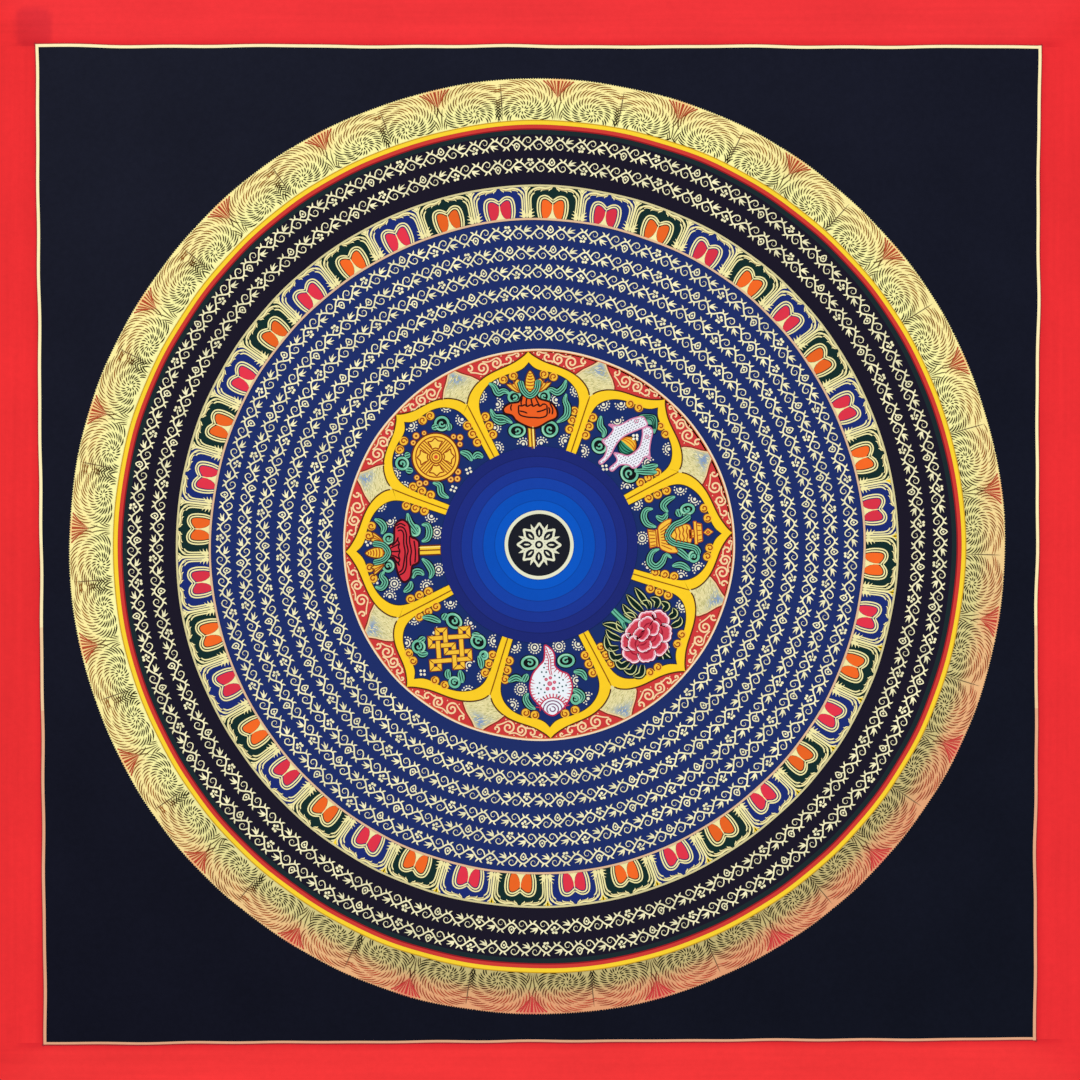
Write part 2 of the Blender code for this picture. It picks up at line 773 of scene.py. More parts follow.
@dataclass
class PaintFilm:
    """All paint of one piece, gathered from sketches and made one mesh."""

    name: str
    finish: "Paint"
    sketches: list[tuple[Sketch, Array, float]] = field(default_factory=list)

    def lay(self, sketch: Sketch, place: Place = Place(), tint: float = 1.0) -> None:
        """Copy a sketch onto the sheet.

        Args:
            sketch: what is drawn.
            place: where it goes.
            tint: how much lighter or darker this copy is.
        """
        points = np.vstack(sketch.points)
        flat = hand_drift(place.lay(points[:, :2]))
        self.sketches.append((sketch, np.column_stack([flat, points[:, 2]]), tint))

    @staticmethod
    def bake_places(points: Array, levels: Array) -> Array:
        """Give each point a place on a flat map with a tile for each coat.

        Args:
            points: rows of x, y and height.
            levels: the coat of each point.

        Returns:
            One place on the map for each point.
        """
        low, high = points[:, :2].min(0), points[:, :2].max(0)
        used, tile = np.unique(levels, return_inverse=True)
        across = math.ceil(math.sqrt(len(used)))
        inside = 0.01 + 0.98 * (points[:, :2] - low) / (high - low).max()
        corner = np.stack([tile % across, tile // across], 1)
        return (corner + inside) / across

    def build(self, along: Callable[[Array], Array] | None = None) -> Piece:
        """Join the sketches in one mesh and dress it.

        Args:
            along: gives places along and across the brush, for streaks.

        Returns:
            The finished piece.
        """
        points = np.vstack([flat for _, flat, _ in self.sketches])
        colours = np.vstack([np.vstack(s.colours) * t for s, _, t in self.sketches])
        levels = np.concatenate([np.concatenate(s.levels) for s, _, _ in self.sketches])
        rounded = np.concatenate([np.concatenate(s.rounded) for s, _, _ in self.sketches])
        shift, parts = 0, []
        for sketch, flat, _ in self.sketches:
            parts.append(np.vstack(sketch.triangles) + shift)
            shift += len(flat)
        triangles = np.vstack(parts)
        flat = points[triangles][:, :, :2]
        edge_a, edge_b = flat[:, 1] - flat[:, 0], flat[:, 2] - flat[:, 0]
        facing = edge_a[:, 0] * edge_b[:, 1] - edge_a[:, 1] * edge_b[:, 0]
        triangles = np.where(facing[:, None] < 0.0, triangles[:, ::-1], triangles)

        mesh = bpy.data.meshes.new(self.name)
        placed = points.copy()
        placed[:, 2] += CanvasSheet.thickness
        mesh.vertices.add(len(placed))
        mesh.vertices.foreach_set("co", (placed * METRES).astype(np.float32).ravel())
        mesh.loops.add(triangles.size)
        mesh.loops.foreach_set("vertex_index", triangles.astype(np.int32).ravel())
        mesh.polygons.add(len(triangles))
        starts = np.arange(0, triangles.size, 3, dtype=np.int32)
        mesh.polygons.foreach_set("loop_start", starts)
        mesh.polygons.foreach_set("loop_total", np.full(len(starts), 3, np.int32))
        mesh.polygons.foreach_set("use_smooth", rounded)
        mesh.update(calc_edges=True)
        light = np.column_stack([linear_light(colours), np.ones(len(colours))])
        pigment = mesh.color_attributes.new("pigment", "FLOAT_COLOR", "POINT")
        pigment.data.foreach_set("color", light.astype(np.float32).ravel())
        corners = triangles.ravel()
        maps = {"OFBake": self.bake_places(points, levels)}
        if along:
            maps["along"] = along(points)
        for name, places in maps.items():
            layer = mesh.uv_layers.new(name=name)
            layer.uv.foreach_set("vector", places[corners].astype(np.float32).ravel())
        mesh.materials.append(self.finish.material())
        piece = bpy.data.objects.new(self.name, mesh)
        bpy.context.scene.collection.objects.link(piece)
        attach(piece, BODY)
        LOG.info("%s: %d triangles", self.name, len(triangles))
        return piece


def one_film(name: str, finish: "Paint", sketch: Sketch, place: Place = Place()) -> Piece:
    """Make a piece of a single sketch.

    Args:
        name: the piece's name.
        finish: its paint.
        sketch: what is drawn.
        place: where it goes.

    Returns:
        The finished piece.
    """
    film = PaintFilm(name, finish)
    film.lay(sketch, place)
    return film.build()


# ------------------------------------------------------------ finishes


class Graph:
    """A node tree, with short ways to add nodes and join them."""

    def __init__(self, tree: bpy.types.NodeTree) -> None:
        """Work on this tree."""
        self.tree = tree

    def add(self, kind: str, inputs: dict | None = None, **settings) -> bpy.types.Node:
        """Add a node.

        Args:
            kind: the node's type, without the word ShaderNode.
            inputs: what each named or numbered input is, or is joined to.
            settings: the node's own settings.

        Returns:
            The node.
        """
        node = self.tree.nodes.new("ShaderNode" + kind)
        for name, value in settings.items():
            setattr(node, name, value)
        for name, value in (inputs or {}).items():
            if isinstance(value, Socket):
                self.tree.links.new(value, node.inputs[name])
            else:
                node.inputs[name].default_value = value
        return node

    def math(self, operation: str, first: object, second: object = 0.0,
             third: object = 0.0) -> Socket:
        """Add a sum and give its result."""
        inputs = {0: first, 1: second, 2: third}
        return self.add("Math", inputs, operation=operation).outputs[0]

    def noise(self, places: Socket, scale: float, detail: float = 3.0,
              stretch: tuple[float, float, float] = (1.0, 1.0, 1.0)) -> Socket:
        """Add soft noise, finer for a larger scale, and give its value.

        Args:
            places: the socket of coordinates.
            scale: how fine it is.
            detail: how many finer layers it has.
            stretch: how much finer it is along each axis.

        Returns:
            The socket of its value.
        """
        turned = self.add("Mapping", {"Vector": places, "Scale": stretch})
        node = self.add("TexNoise", {"Vector": turned.outputs[0], "Scale": scale,
                                     "Detail": detail, "Roughness": 0.55})
        return node.outputs["Fac"]


def node_group(name: str, inputs: dict[str, str], outputs: dict[str, str],
               wire: Callable[[Graph, bpy.types.Node, bpy.types.Node], None]
               ) -> bpy.types.NodeTree:
    """Build a shader node group once.

    Args:
        name: what it is called.
        inputs: its inputs and their kinds.
        outputs: its outputs and their kinds.
        wire: fills it, given the graph and its input and output nodes.

    Returns:
        The group, new or kept.
    """
    if name in bpy.data.node_groups:
        return bpy.data.node_groups[name]
    tree = bpy.data.node_groups.new(name, "ShaderNodeTree")
    for label, kind in inputs.items():
        tree.interface.new_socket(label, in_out="INPUT", socket_type="NodeSocket" + kind)
    for label, kind in outputs.items():
        tree.interface.new_socket(label, in_out="OUTPUT", socket_type="NodeSocket" + kind)
    start = tree.nodes.new("NodeGroupInput")
    end = tree.nodes.new("NodeGroupOutput")
    wire(Graph(tree), start, end)
    return tree


def canvas_weave() -> bpy.types.NodeTree:
    """Build the plain weave of the cotton, as a height and a thread mask.

    Returns:
        The node group.
    """

    def wire(graph: Graph, start: bpy.types.Node, end: bpy.types.Node) -> None:
        """Cross two sets of threads that waver a little.

        Args:
            graph: the group's graph.
            start: its input node.
            end: its output node.
        """
        places = start.outputs["Places"]
        waver = graph.math("MULTIPLY", graph.noise(places, 120.0), 0.0006)
        parts = graph.add("SeparateXYZ", {0: places})
        waves = []
        for part in (parts.outputs["X"], parts.outputs["Y"]):
            moved = graph.math("ADD", part, waver)
            turns = graph.math("DIVIDE", moved, start.outputs["Thread pitch"])
            waves.append(graph.math("SINE", graph.math("MULTIPLY", turns, math.pi)))
        crossed = graph.math("MULTIPLY", waves[0], waves[1])
        height = graph.math("MULTIPLY_ADD", crossed, 0.5, 0.5)
        slub = graph.noise(places, 900.0, 2.0, (0.12, 1.0, 1.0))
        graph.tree.links.new(height, end.inputs["Height"])
        graph.tree.links.new(slub, end.inputs["Slub"])

    return node_group("canvas_weave", {"Places": "Vector", "Thread pitch": "Float"},
                      {"Height": "Float", "Slub": "Float"}, wire)


def pigment_mottle() -> bpy.types.NodeTree:
    """Build the uneven strength of hand-ground paint, near 1 all over.

    Returns:
        The node group.
    """

    def wire(graph: Graph, start: bpy.types.Node, end: bpy.types.Node) -> None:
        """Add cloudy, fine and grainy unevenness.

        Args:
            graph: the group's graph.
            start: its input node.
            end: its output node.
        """
        places = start.outputs["Places"]
        cloud = graph.noise(places, 22.0, 2.0)
        fine = graph.noise(places, 420.0, 2.0)
        both = graph.math("MULTIPLY_ADD", fine, 0.6, graph.math("MULTIPLY", cloud, 0.8))
        off = graph.math("SUBTRACT", both, 0.7)
        shade = graph.math("MULTIPLY_ADD", off, start.outputs["Strength"], 1.0)
        graph.tree.links.new(shade, end.inputs["Shade"])
        graph.tree.links.new(graph.noise(places, 2600.0, 2.0), end.inputs["Grain"])

    return node_group("pigment_mottle", {"Places": "Vector", "Strength": "Float"},
                      {"Shade": "Float", "Grain": "Float"}, wire)


@dataclass(frozen=True)
class Finish:
    """A finish starts as a material with a graph for its shader."""

    name: str

    def start(self) -> tuple[bpy.types.Material, Graph, bpy.types.Node, Socket]:
        """Add the material.

        Returns:
            The material, its graph, its shader and the socket of object coordinates.
        """
        made = bpy.data.materials.new(self.name)
        made.use_nodes = True
        graph = Graph(made.node_tree)
        places = graph.add("TexCoord").outputs["Object"]
        return made, graph, made.node_tree.nodes["Principled BSDF"], places

    @staticmethod
    def cloth(graph: Graph, places: Socket,
              strength: float) -> tuple[bpy.types.Node, bpy.types.Node]:
        """Add the uneven strength of the paint and the weave under it.

        Args:
            graph: the material's graph.
            places: the socket of object coordinates.
            strength: how uneven the paint is.

        Returns:
            The two group nodes.
        """
        pitch = CanvasSheet.thread_pitch * METRES
        return (graph.add("Group", {"Places": places, "Strength": strength},
                          node_tree=pigment_mottle()),
                graph.add("Group", {"Places": places, "Thread pitch": pitch},
                          node_tree=canvas_weave()))


@dataclass(frozen=True)
class Paint(Finish):
    """A paint that takes its colour from the mesh's pigment attribute."""

    roughness: float = 0.78
    sheen: float = 0.05
    metal: float = 0.0
    mottle: float = 0.16
    relief: float = 0.35
    streaks: float = 0.0

    def material(self) -> bpy.types.Material:
        """Build the material, or give the one that is already there.

        Returns:
            The material.
        """
        if self.name in bpy.data.materials:
            return bpy.data.materials[self.name]
        made, graph, shader, places = self.start()
        links = made.node_tree.links
        mottle, weave = self.cloth(graph, places, self.mottle)
        shade = mottle.outputs["Shade"]
        if self.streaks:
            along = graph.add("UVMap", uv_map="along").outputs[0]
            streak = graph.noise(along, 1.0, 4.0, (5.0, 160.0, 1.0))
            broad = graph.noise(along, 1.0, 3.0, (2.2, 26.0, 1.0))
            both = graph.math("ADD", streak, broad)
            off = graph.math("MULTIPLY_ADD", both, self.streaks, 1.0 - self.streaks)
            shade = graph.math("MULTIPLY", shade, off)
        pigment = graph.add("Attribute", attribute_name="pigment").outputs["Color"]
        coloured = graph.add("VectorMath", {0: pigment, "Scale": shade}, operation="SCALE")
        links.new(coloured.outputs[0], shader.inputs["Base Color"])

        rough = graph.math("MULTIPLY_ADD", mottle.outputs["Grain"], 0.16,
                           self.roughness - 0.08)
        links.new(rough, shader.inputs["Roughness"])
        grain = graph.math("MULTIPLY", mottle.outputs["Grain"], 0.5)
        height = graph.math("MULTIPLY_ADD", weave.outputs["Height"], 0.5, grain)
        bump = graph.add("Bump", {"Strength": self.relief, "Distance": PAINT_DEPTH,
                                  "Height": height})
        links.new(bump.outputs[0], shader.inputs["Normal"])
        shader.inputs["Specular IOR Level"].default_value = self.sheen
        shader.inputs["Metallic"].default_value = self.metal
        return made


MATT_PAINT = Paint("matt_mineral_paint")
MARGIN_PAINT = Paint("brushed_margin_paint", mottle=0.22, streaks=0.20)
FIELD_PAINT = Paint("night_field_paint", roughness=0.85, sheen=0.03, mottle=0.5)
GOLD_PAINT = Paint("gold_line_paint", roughness=0.5, sheen=0.3, metal=0.1, mottle=0.22)


@dataclass(frozen=True)
class PrimedCotton(Finish):
    """Cotton primed with glue and chalk, bare at the edges and the back."""

    name: str = "primed_cotton"
    roughness: float = 0.9
    sheen: float = 0.2
    mottle: float = 0.8
    relief: float = 0.6
    chalk: tuple[int, int, int] = (226, 214, 188)
    thread: tuple[int, int, int] = (198, 180, 146)

    def material(self) -> bpy.types.Material:
        """Build the material with a weave that shows through the priming.

        Returns:
            The material.
        """
        made, graph, shader, places = self.start()
        links = made.node_tree.links
        mottle, weave = self.cloth(graph, places, self.mottle)
        bare = graph.math("MULTIPLY", weave.outputs["Slub"], weave.outputs["Height"])
        colours = [(*linear_light(np.array(c, float)), 1.0) for c in (self.chalk, self.thread)]
        blend = graph.add("Mix", {0: bare}, data_type="RGBA")
        blend.inputs[6].default_value, blend.inputs[7].default_value = colours
        stained = graph.add("VectorMath", {0: blend.outputs[2], "Scale": mottle.outputs["Shade"]},
                            operation="SCALE")
        links.new(stained.outputs[0], shader.inputs["Base Color"])
        bump = graph.add("Bump", {"Strength": self.relief, "Distance": WEAVE_DEPTH,
                                  "Height": weave.outputs["Height"]})
        links.new(bump.outputs[0], shader.inputs["Normal"])
        shader.inputs["Roughness"].default_value = self.roughness
        shader.inputs["Specular IOR Level"].default_value = self.sheen
        return made


@dataclass(frozen=True)
class StudioFloor(Finish):
    """A plain pale floor with the least unevenness."""

    name: str = "pale_floor"
    roughness: float = 0.7
    darkest: float = 0.70
    palest: float = 0.76

    def material(self) -> bpy.types.Material:
        """Build the material.

        Returns:
            The material.
        """
        made, graph, shader, places = self.start()
        ramp = graph.add("MapRange", {"Value": graph.noise(places, 3.0),
                                      "To Min": self.darkest, "To Max": self.palest})
        made.node_tree.links.new(ramp.outputs[0], shader.inputs["Base Color"])
        shader.inputs["Roughness"].default_value = self.roughness
        return made


# --------------------------------------------------- sheet and margins


@dataclass
class CanvasSheet:
    """The square of primed cotton, cut by hand and a little worn."""

    width: float = 510.0
    height: float = 510.0
    thickness: float = 1.2
    edge_stray: float = 0.7
    edge_fall_in: float = 60.0
    corner_wear: float = 1.2
    cells: int = 84
    rim_rounding: float = 0.35
    thread_pitch: float = 0.55
    edge_waves: dict[str, Spot] = field(default_factory=lambda: {
        "right": (1.5, 0.4), "left": (2.0, 2.1), "top": (1.2, 1.3), "bottom": (1.8, 3.7)})

    def stray(self, edge: str, along: Array) -> Array:
        """Give how far an edge strays outwards at places from -1 to 1 along it.

        Args:
            edge: which edge.
            along: places from -1 to 1 along it.

        Returns:
            Millimetres outwards.
        """
        bows, shift = self.edge_waves[edge]
        slow = np.sin(bows * math.pi * along + shift)
        quick = np.sin(3.3 * bows * math.pi * along + 2.0 * shift)
        return self.edge_stray * (0.75 * slow + 0.25 * quick)

    def fall_in(self, distance: Array) -> Array:
        """Fade an edge's stray from 1 at the edge to 0 well inside it."""
        return (1.0 - np.clip(distance / self.edge_fall_in, 0.0, 1.0)) ** 2

    def cut(self, flat: Array) -> Array:
        """Give a square's points, from -1 to 1, their places on the cut sheet.

        Args:
            flat: rows of two numbers from -1 to 1.

        Returns:
            Places in millimetres, with the outline exactly as wide as the cut.
        """
        across, along = flat[:, 0], flat[:, 1]
        half = np.array([self.width, self.height]) * 0.5 - self.edge_stray
        placed = flat * half
        side_gap, end_gap = (half - np.abs(placed)).T
        side = np.where(across > 0.0, self.stray("right", along), self.stray("left", along))
        end = np.where(along > 0.0, self.stray("top", across), self.stray("bottom", across))
        wear = self.corner_wear * self.fall_in(4.0 * side_gap) * self.fall_in(4.0 * end_gap)
        placed[:, 0] += np.copysign(side * self.fall_in(side_gap) - wear, across)
        placed[:, 1] += np.copysign(end * self.fall_in(end_gap) - wear, along)
        low, high = placed.min(0), placed.max(0)
        size = np.array([self.width, self.height])
        return (placed - 0.5 * (low + high)) * size / (high - low)

    def build(self) -> Piece:
        """Shape the sheet from a grid, with its thickness and a worn rim.

        Returns:
            The finished piece.
        """
        sheet = new_grid(self.cells, self.cells)
        sheet.name = sheet.data.name = "painted_canvas"
        placed = self.cut(vertex_places(sheet.data)[:, :2]) * METRES
        placed = np.column_stack([placed, np.zeros(len(placed))])
        sheet.data.vertices.foreach_set("co", placed.ravel())
        wall = sheet.modifiers.new("thickness", "SOLIDIFY")
        wall.thickness = self.thickness * METRES
        wall.offset = 1.0
        rim = sheet.modifiers.new("rim", "BEVEL")
        rim.width = self.rim_rounding * METRES
        rim.segments = 2
        rim.limit_method = "ANGLE"
        rim.angle_limit = math.radians(50.0)
        for name in ("thickness", "rim"):
            bpy.ops.object.modifier_apply(modifier=name)
        sheet.data.shade_smooth()
        sheet.data.materials.append(PrimedCotton().material())
        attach(sheet, BODY)
        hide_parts(CANVAS_NODE)
        LOG.info("painted_canvas: %d faces", len(sheet.data.polygons))
        return sheet


@dataclass
class Margins:
    """The red margin, the dark field and the gold line between them."""

    sheet: CanvasSheet
    bare_edge: float = 0.9
    tuck: float = 1.0
    columns_per_side: int = 280
    rows: int = 16
    line_width: float = 1.35
    line_pieces: int = 12
    # heights over which the gold line turns rose: painted shade, as if light fell from the top
    painted_shade_from: float = 0.0
    painted_shade_at: float = -120.0
    dab_middle: Spot = (-234.7, 237.3)
    dab_half: Spot = (8.3, 8.9)
    dab_strength: tuple = (0.08, 0.11, 0.03)
    deep_red: tuple = (222, 40, 46)
    # dark red of the painted shadow just outside the gold line
    painted_line_shadow: tuple = (160, 26, 36)
    field_corners: tuple = ((-232.9, 228.7), (231.1, 228.2), (228.9, -230.9), (-229.0, -233.0))
    # corner colours of the field, lighter at the top: painted light from above
    field_shades: tuple = ((26, 28, 41), (22, 24, 38), (16, 19, 31), (17, 18, 31))
    side_shades: tuple = ((238, 52, 56), (234, 46, 50), (244, 54, 55), (234, 46, 49))

    def outer_corners(self) -> Array:
        """Give the margin's outer corners, in the order of the field's.

        Returns:
            Four places.
        """
        x = 0.5 * self.sheet.width - self.bare_edge
        y = 0.5 * self.sheet.height - self.bare_edge
        return np.array([(-x, y), (x, y), (x, -y), (-x, -y)])

    def along_sides(self, points: Array) -> Array:
        """Give each point of the margin its place along and across its strip.

        Args:
            points: rows of x, y and height.

        Returns:
            One place for each point, for the brush's streaks.
        """
        x, y = points[:, 0] / self.sheet.width, points[:, 1] / self.sheet.height
        upright = points[:, 2] < PAINT_STEP * (Level.GROUND - 0.2)
        along = np.where(upright, y, x) + 2.0 * np.where(upright, x > 0.0, y > 0.0)
        across = np.where(upright, np.abs(x), np.abs(y)) + np.where(upright, 1.4, 0.7)
        return np.stack([along, across], 1)

    def strips(self) -> list[Array]:
        """Give the strips' corners, outer edge first; upright ones are tucked under.

        Returns:
            Four corners for each of the four strips.
        """
        outer, inner = self.outer_corners(), np.array(self.field_corners)
        strips = []
        for side in range(4):
            after = (side + 1) % 4
            if side % 2 == 0:
                close = [(outer[after, 0], inner[after, 1]), (outer[side, 0], inner[side, 1])]
                strips.append(np.array([outer[side], outer[after], *close]))
                continue
            ends = inner[[side, after, after, side], 1] + self.tuck * (
                (side == 1) - (side == 3)) * np.array([1.0, -1.0, -1.0, 1.0])
            sides = [outer[side, 0], outer[after, 0], inner[after, 0], inner[side, 0]]
            strips.append(np.column_stack([sides, ends]))
        return strips

    def red(self, flat: Array, share: Array) -> Array:
        """Shade the margin by place, deeper beside the field and in one dabbed corner.

        Args:
            flat: places on the sheet.
            share: 0 at the outer edge and 1 at the field.

        Returns:
            Display values, one row for each place.
        """
        x, y = flat.T
        lean = eased(-16.0, 16.0, np.abs(y) - np.abs(x))[:, None]
        level = np.where((y > 0.0)[:, None], self.side_shades[0], self.side_shades[2])
        upright = np.where((x > 0.0)[:, None], self.side_shades[1], self.side_shades[3])
        shade = level * lean + upright * (1.0 - lean)
        close = eased(0.80, 1.0, share) * eased(246.0, 236.0, np.maximum(np.abs(x), np.abs(y)))
        shade = shade * (1.0 - close[:, None]) + np.array(self.deep_red) * close[:, None]
        off = ((flat - self.dab_middle) / self.dab_half) ** 4
        dab = eased(1.6, 0.5, off.sum(1))
        return shade * (1.0 - np.outer(dab, self.dab_strength))

    def margin(self) -> Piece:
        """Paint the red margin: the level strips right across, the upright ones between.

        Returns:
            The finished piece.
        """
        film = PaintFilm("red_margin", MARGIN_PAINT)
        blank = BENCH.grid(self.columns_per_side, self.rows)
        along = 0.5 * (blank.points[:, :1] + 1.0)
        share = 0.5 * (blank.points[:, 1:2] + 1.0)
        for side, strip in enumerate(self.strips()):
            out = strip[0] * (1.0 - along) + strip[1] * along
            close = strip[3] * (1.0 - along) + strip[2] * along
            frayed = np.where(share == 0.0, 0.5 * np.sin(37.0 * along + side), 0.0)
            flat = out * (1.0 - share) + close * share
            flat -= frayed * out / np.abs(out).max(axis=1, keepdims=True)
            sketch = Sketch()
            sketch.coat(flat, blank, self.red(flat, share[:, 0]), Level.GROUND,
                        0.5 if side % 2 else 0.0)
            film.lay(sketch)
        return film.build(along=self.along_sides)

    def dark_field(self) -> Piece:
        """Paint the dark field, a little lighter towards the top, as painted light from above.

        Returns:
            The finished piece.
        """
        blank = BENCH.grid(40, 40)
        across, up = (0.5 * (blank.points[:, i:i + 1] + 1.0) for i in (0, 1))
        weights = (up * (1.0 - across), up * across, (1.0 - up) * across,
                   (1.0 - up) * (1.0 - across))
        flat = sum(w * np.array(c) for w, c in zip(weights, self.field_corners))
        shade = sum(w * np.array(c) for w, c in zip(weights, self.field_shades))
        sketch = Sketch()
        sketch.coat(flat, blank, shade, Level.GROUND)
        return one_film("dark_field", FIELD_PAINT, sketch)

    def border_line(self) -> Piece:
        """Draw the gold line round the field, freehand along a straight edge, rose in painted shade
        lower down, with a painted shadow outside it.

        Returns:
            The finished piece.
        """
        sketch = Sketch()
        corners = np.array(self.field_corners)
        for side in range(4):
            start, end = corners[side], corners[(side + 1) % 4]
            steps = 8 * self.line_pieces
            path = evenly([start, end], steps + 1)
            along = np.linspace(0.0, 1.0, steps + 1)
            wobble = 0.22 * np.sin(23.0 * along + 2.0 * side) * np.sin(51.0 * along + side)
            normal = np.array([start[1] - end[1], end[0] - start[0]])
            path += wobble[:, None] * normal / np.linalg.norm(normal)
            path[[0, -1]] += 0.5 * self.line_width * np.array([start - end, end - start]) / (
                np.linalg.norm(end - start))
            pieces = path[np.arange(0, steps, 8)[:, None] + np.arange(9)]
            # painted shade: lower pieces of the line turn from pale to rose gold
            painted_shade = eased(self.painted_shade_from, self.painted_shade_at, pieces[:, 4, 1])
            width = self.line_width * (0.8 if side == 2 else 1.0)
            sketch.strokes(pieces, width, mixed(Pigment.LINE_GOLD, Pigment.SHADED_ROSE_GOLD, painted_shade),
                           Level.LINE, Tip.EVEN)
            # painted shadow: a thin dark red line just outside the gold line
            sketch.path(path * 1.0032, 0.7, self.painted_line_shadow, Level.SHADE)
        return one_film("gold_border_line", GOLD_PAINT, sketch)

    def build(self) -> list[Piece]:
        """Paint all three."""
        return [self.margin(), self.dark_field(), self.border_line()]


# ---------------------------------------------------------- outer rings


@dataclass
class RingBands:
    """The flat coloured rings that the finer work lies on."""

    lotus_inner: float = 151.8
    lotus_outer: float = 167.1
    blue_inner: float = 89.8
    dark_outer: float = 190.9
    pine_outer: float = 193.1
    red_outer: float = 195.4
    yellow_outer: float = 197.3
    off_centre: Spot = (-0.30, -3.16)
    ochre: tuple = (206, 160, 40)
    pale_rose: tuple = (226, 186, 146)

    def build(self) -> list[Piece]:
        """Paint the bands; the outermost ones were drawn with the compass a little off.

        Returns:
            The finished pieces.
        """
        film = PaintFilm("ring_bands", MATT_PAINT)
        even, off = Sketch(), Sketch()
        even.band(self.blue_inner, self.lotus_inner, Level.BAND, colour=Pigment.LAPIS)
        even.band(self.lotus_inner, self.lotus_outer, Level.BAND, colour=Pigment.LOTUS_GREEN)
        even.band(self.lotus_outer, self.dark_outer + 1.0, Level.BAND,
                  colour=Pigment.PLUM_BLACK)
        bands = (
            (self.dark_outer, self.pine_outer, Pigment.PINE, Level.CELL),
            (self.pine_outer, self.pine_outer + 0.5, Pigment.CRIMSON, Level.SHADE),
            (self.pine_outer + 0.5, self.red_outer, Pigment.SCARLET, Level.SHADE),
            (self.red_outer, self.yellow_outer, Pigment.YELLOW, Level.SCARF),
            (self.yellow_outer - 0.2, self.yellow_outer + 0.1, self.ochre, Level.FOLD),
        )
        for inner, outer, colour, level in bands:
            off.band(inner, outer, level, colour=colour)
        film.lay(even, Place(RING_CENTRE))
        film.lay(off, Place(self.off_centre))
        rings = Sketch()
        for radius, width, colour in (
            (self.lotus_inner - 0.3, 0.95, self.pale_rose),
            (self.lotus_outer - 0.2, 0.90, Pigment.RING_GOLD),
        ):
            rings.loop((0.0, 0.0), radius, width, colour, Level.LIGHT, 384)
        return [film.build(), one_film("ring_lines", GOLD_PAINT, rings, Place(RING_CENTRE))]


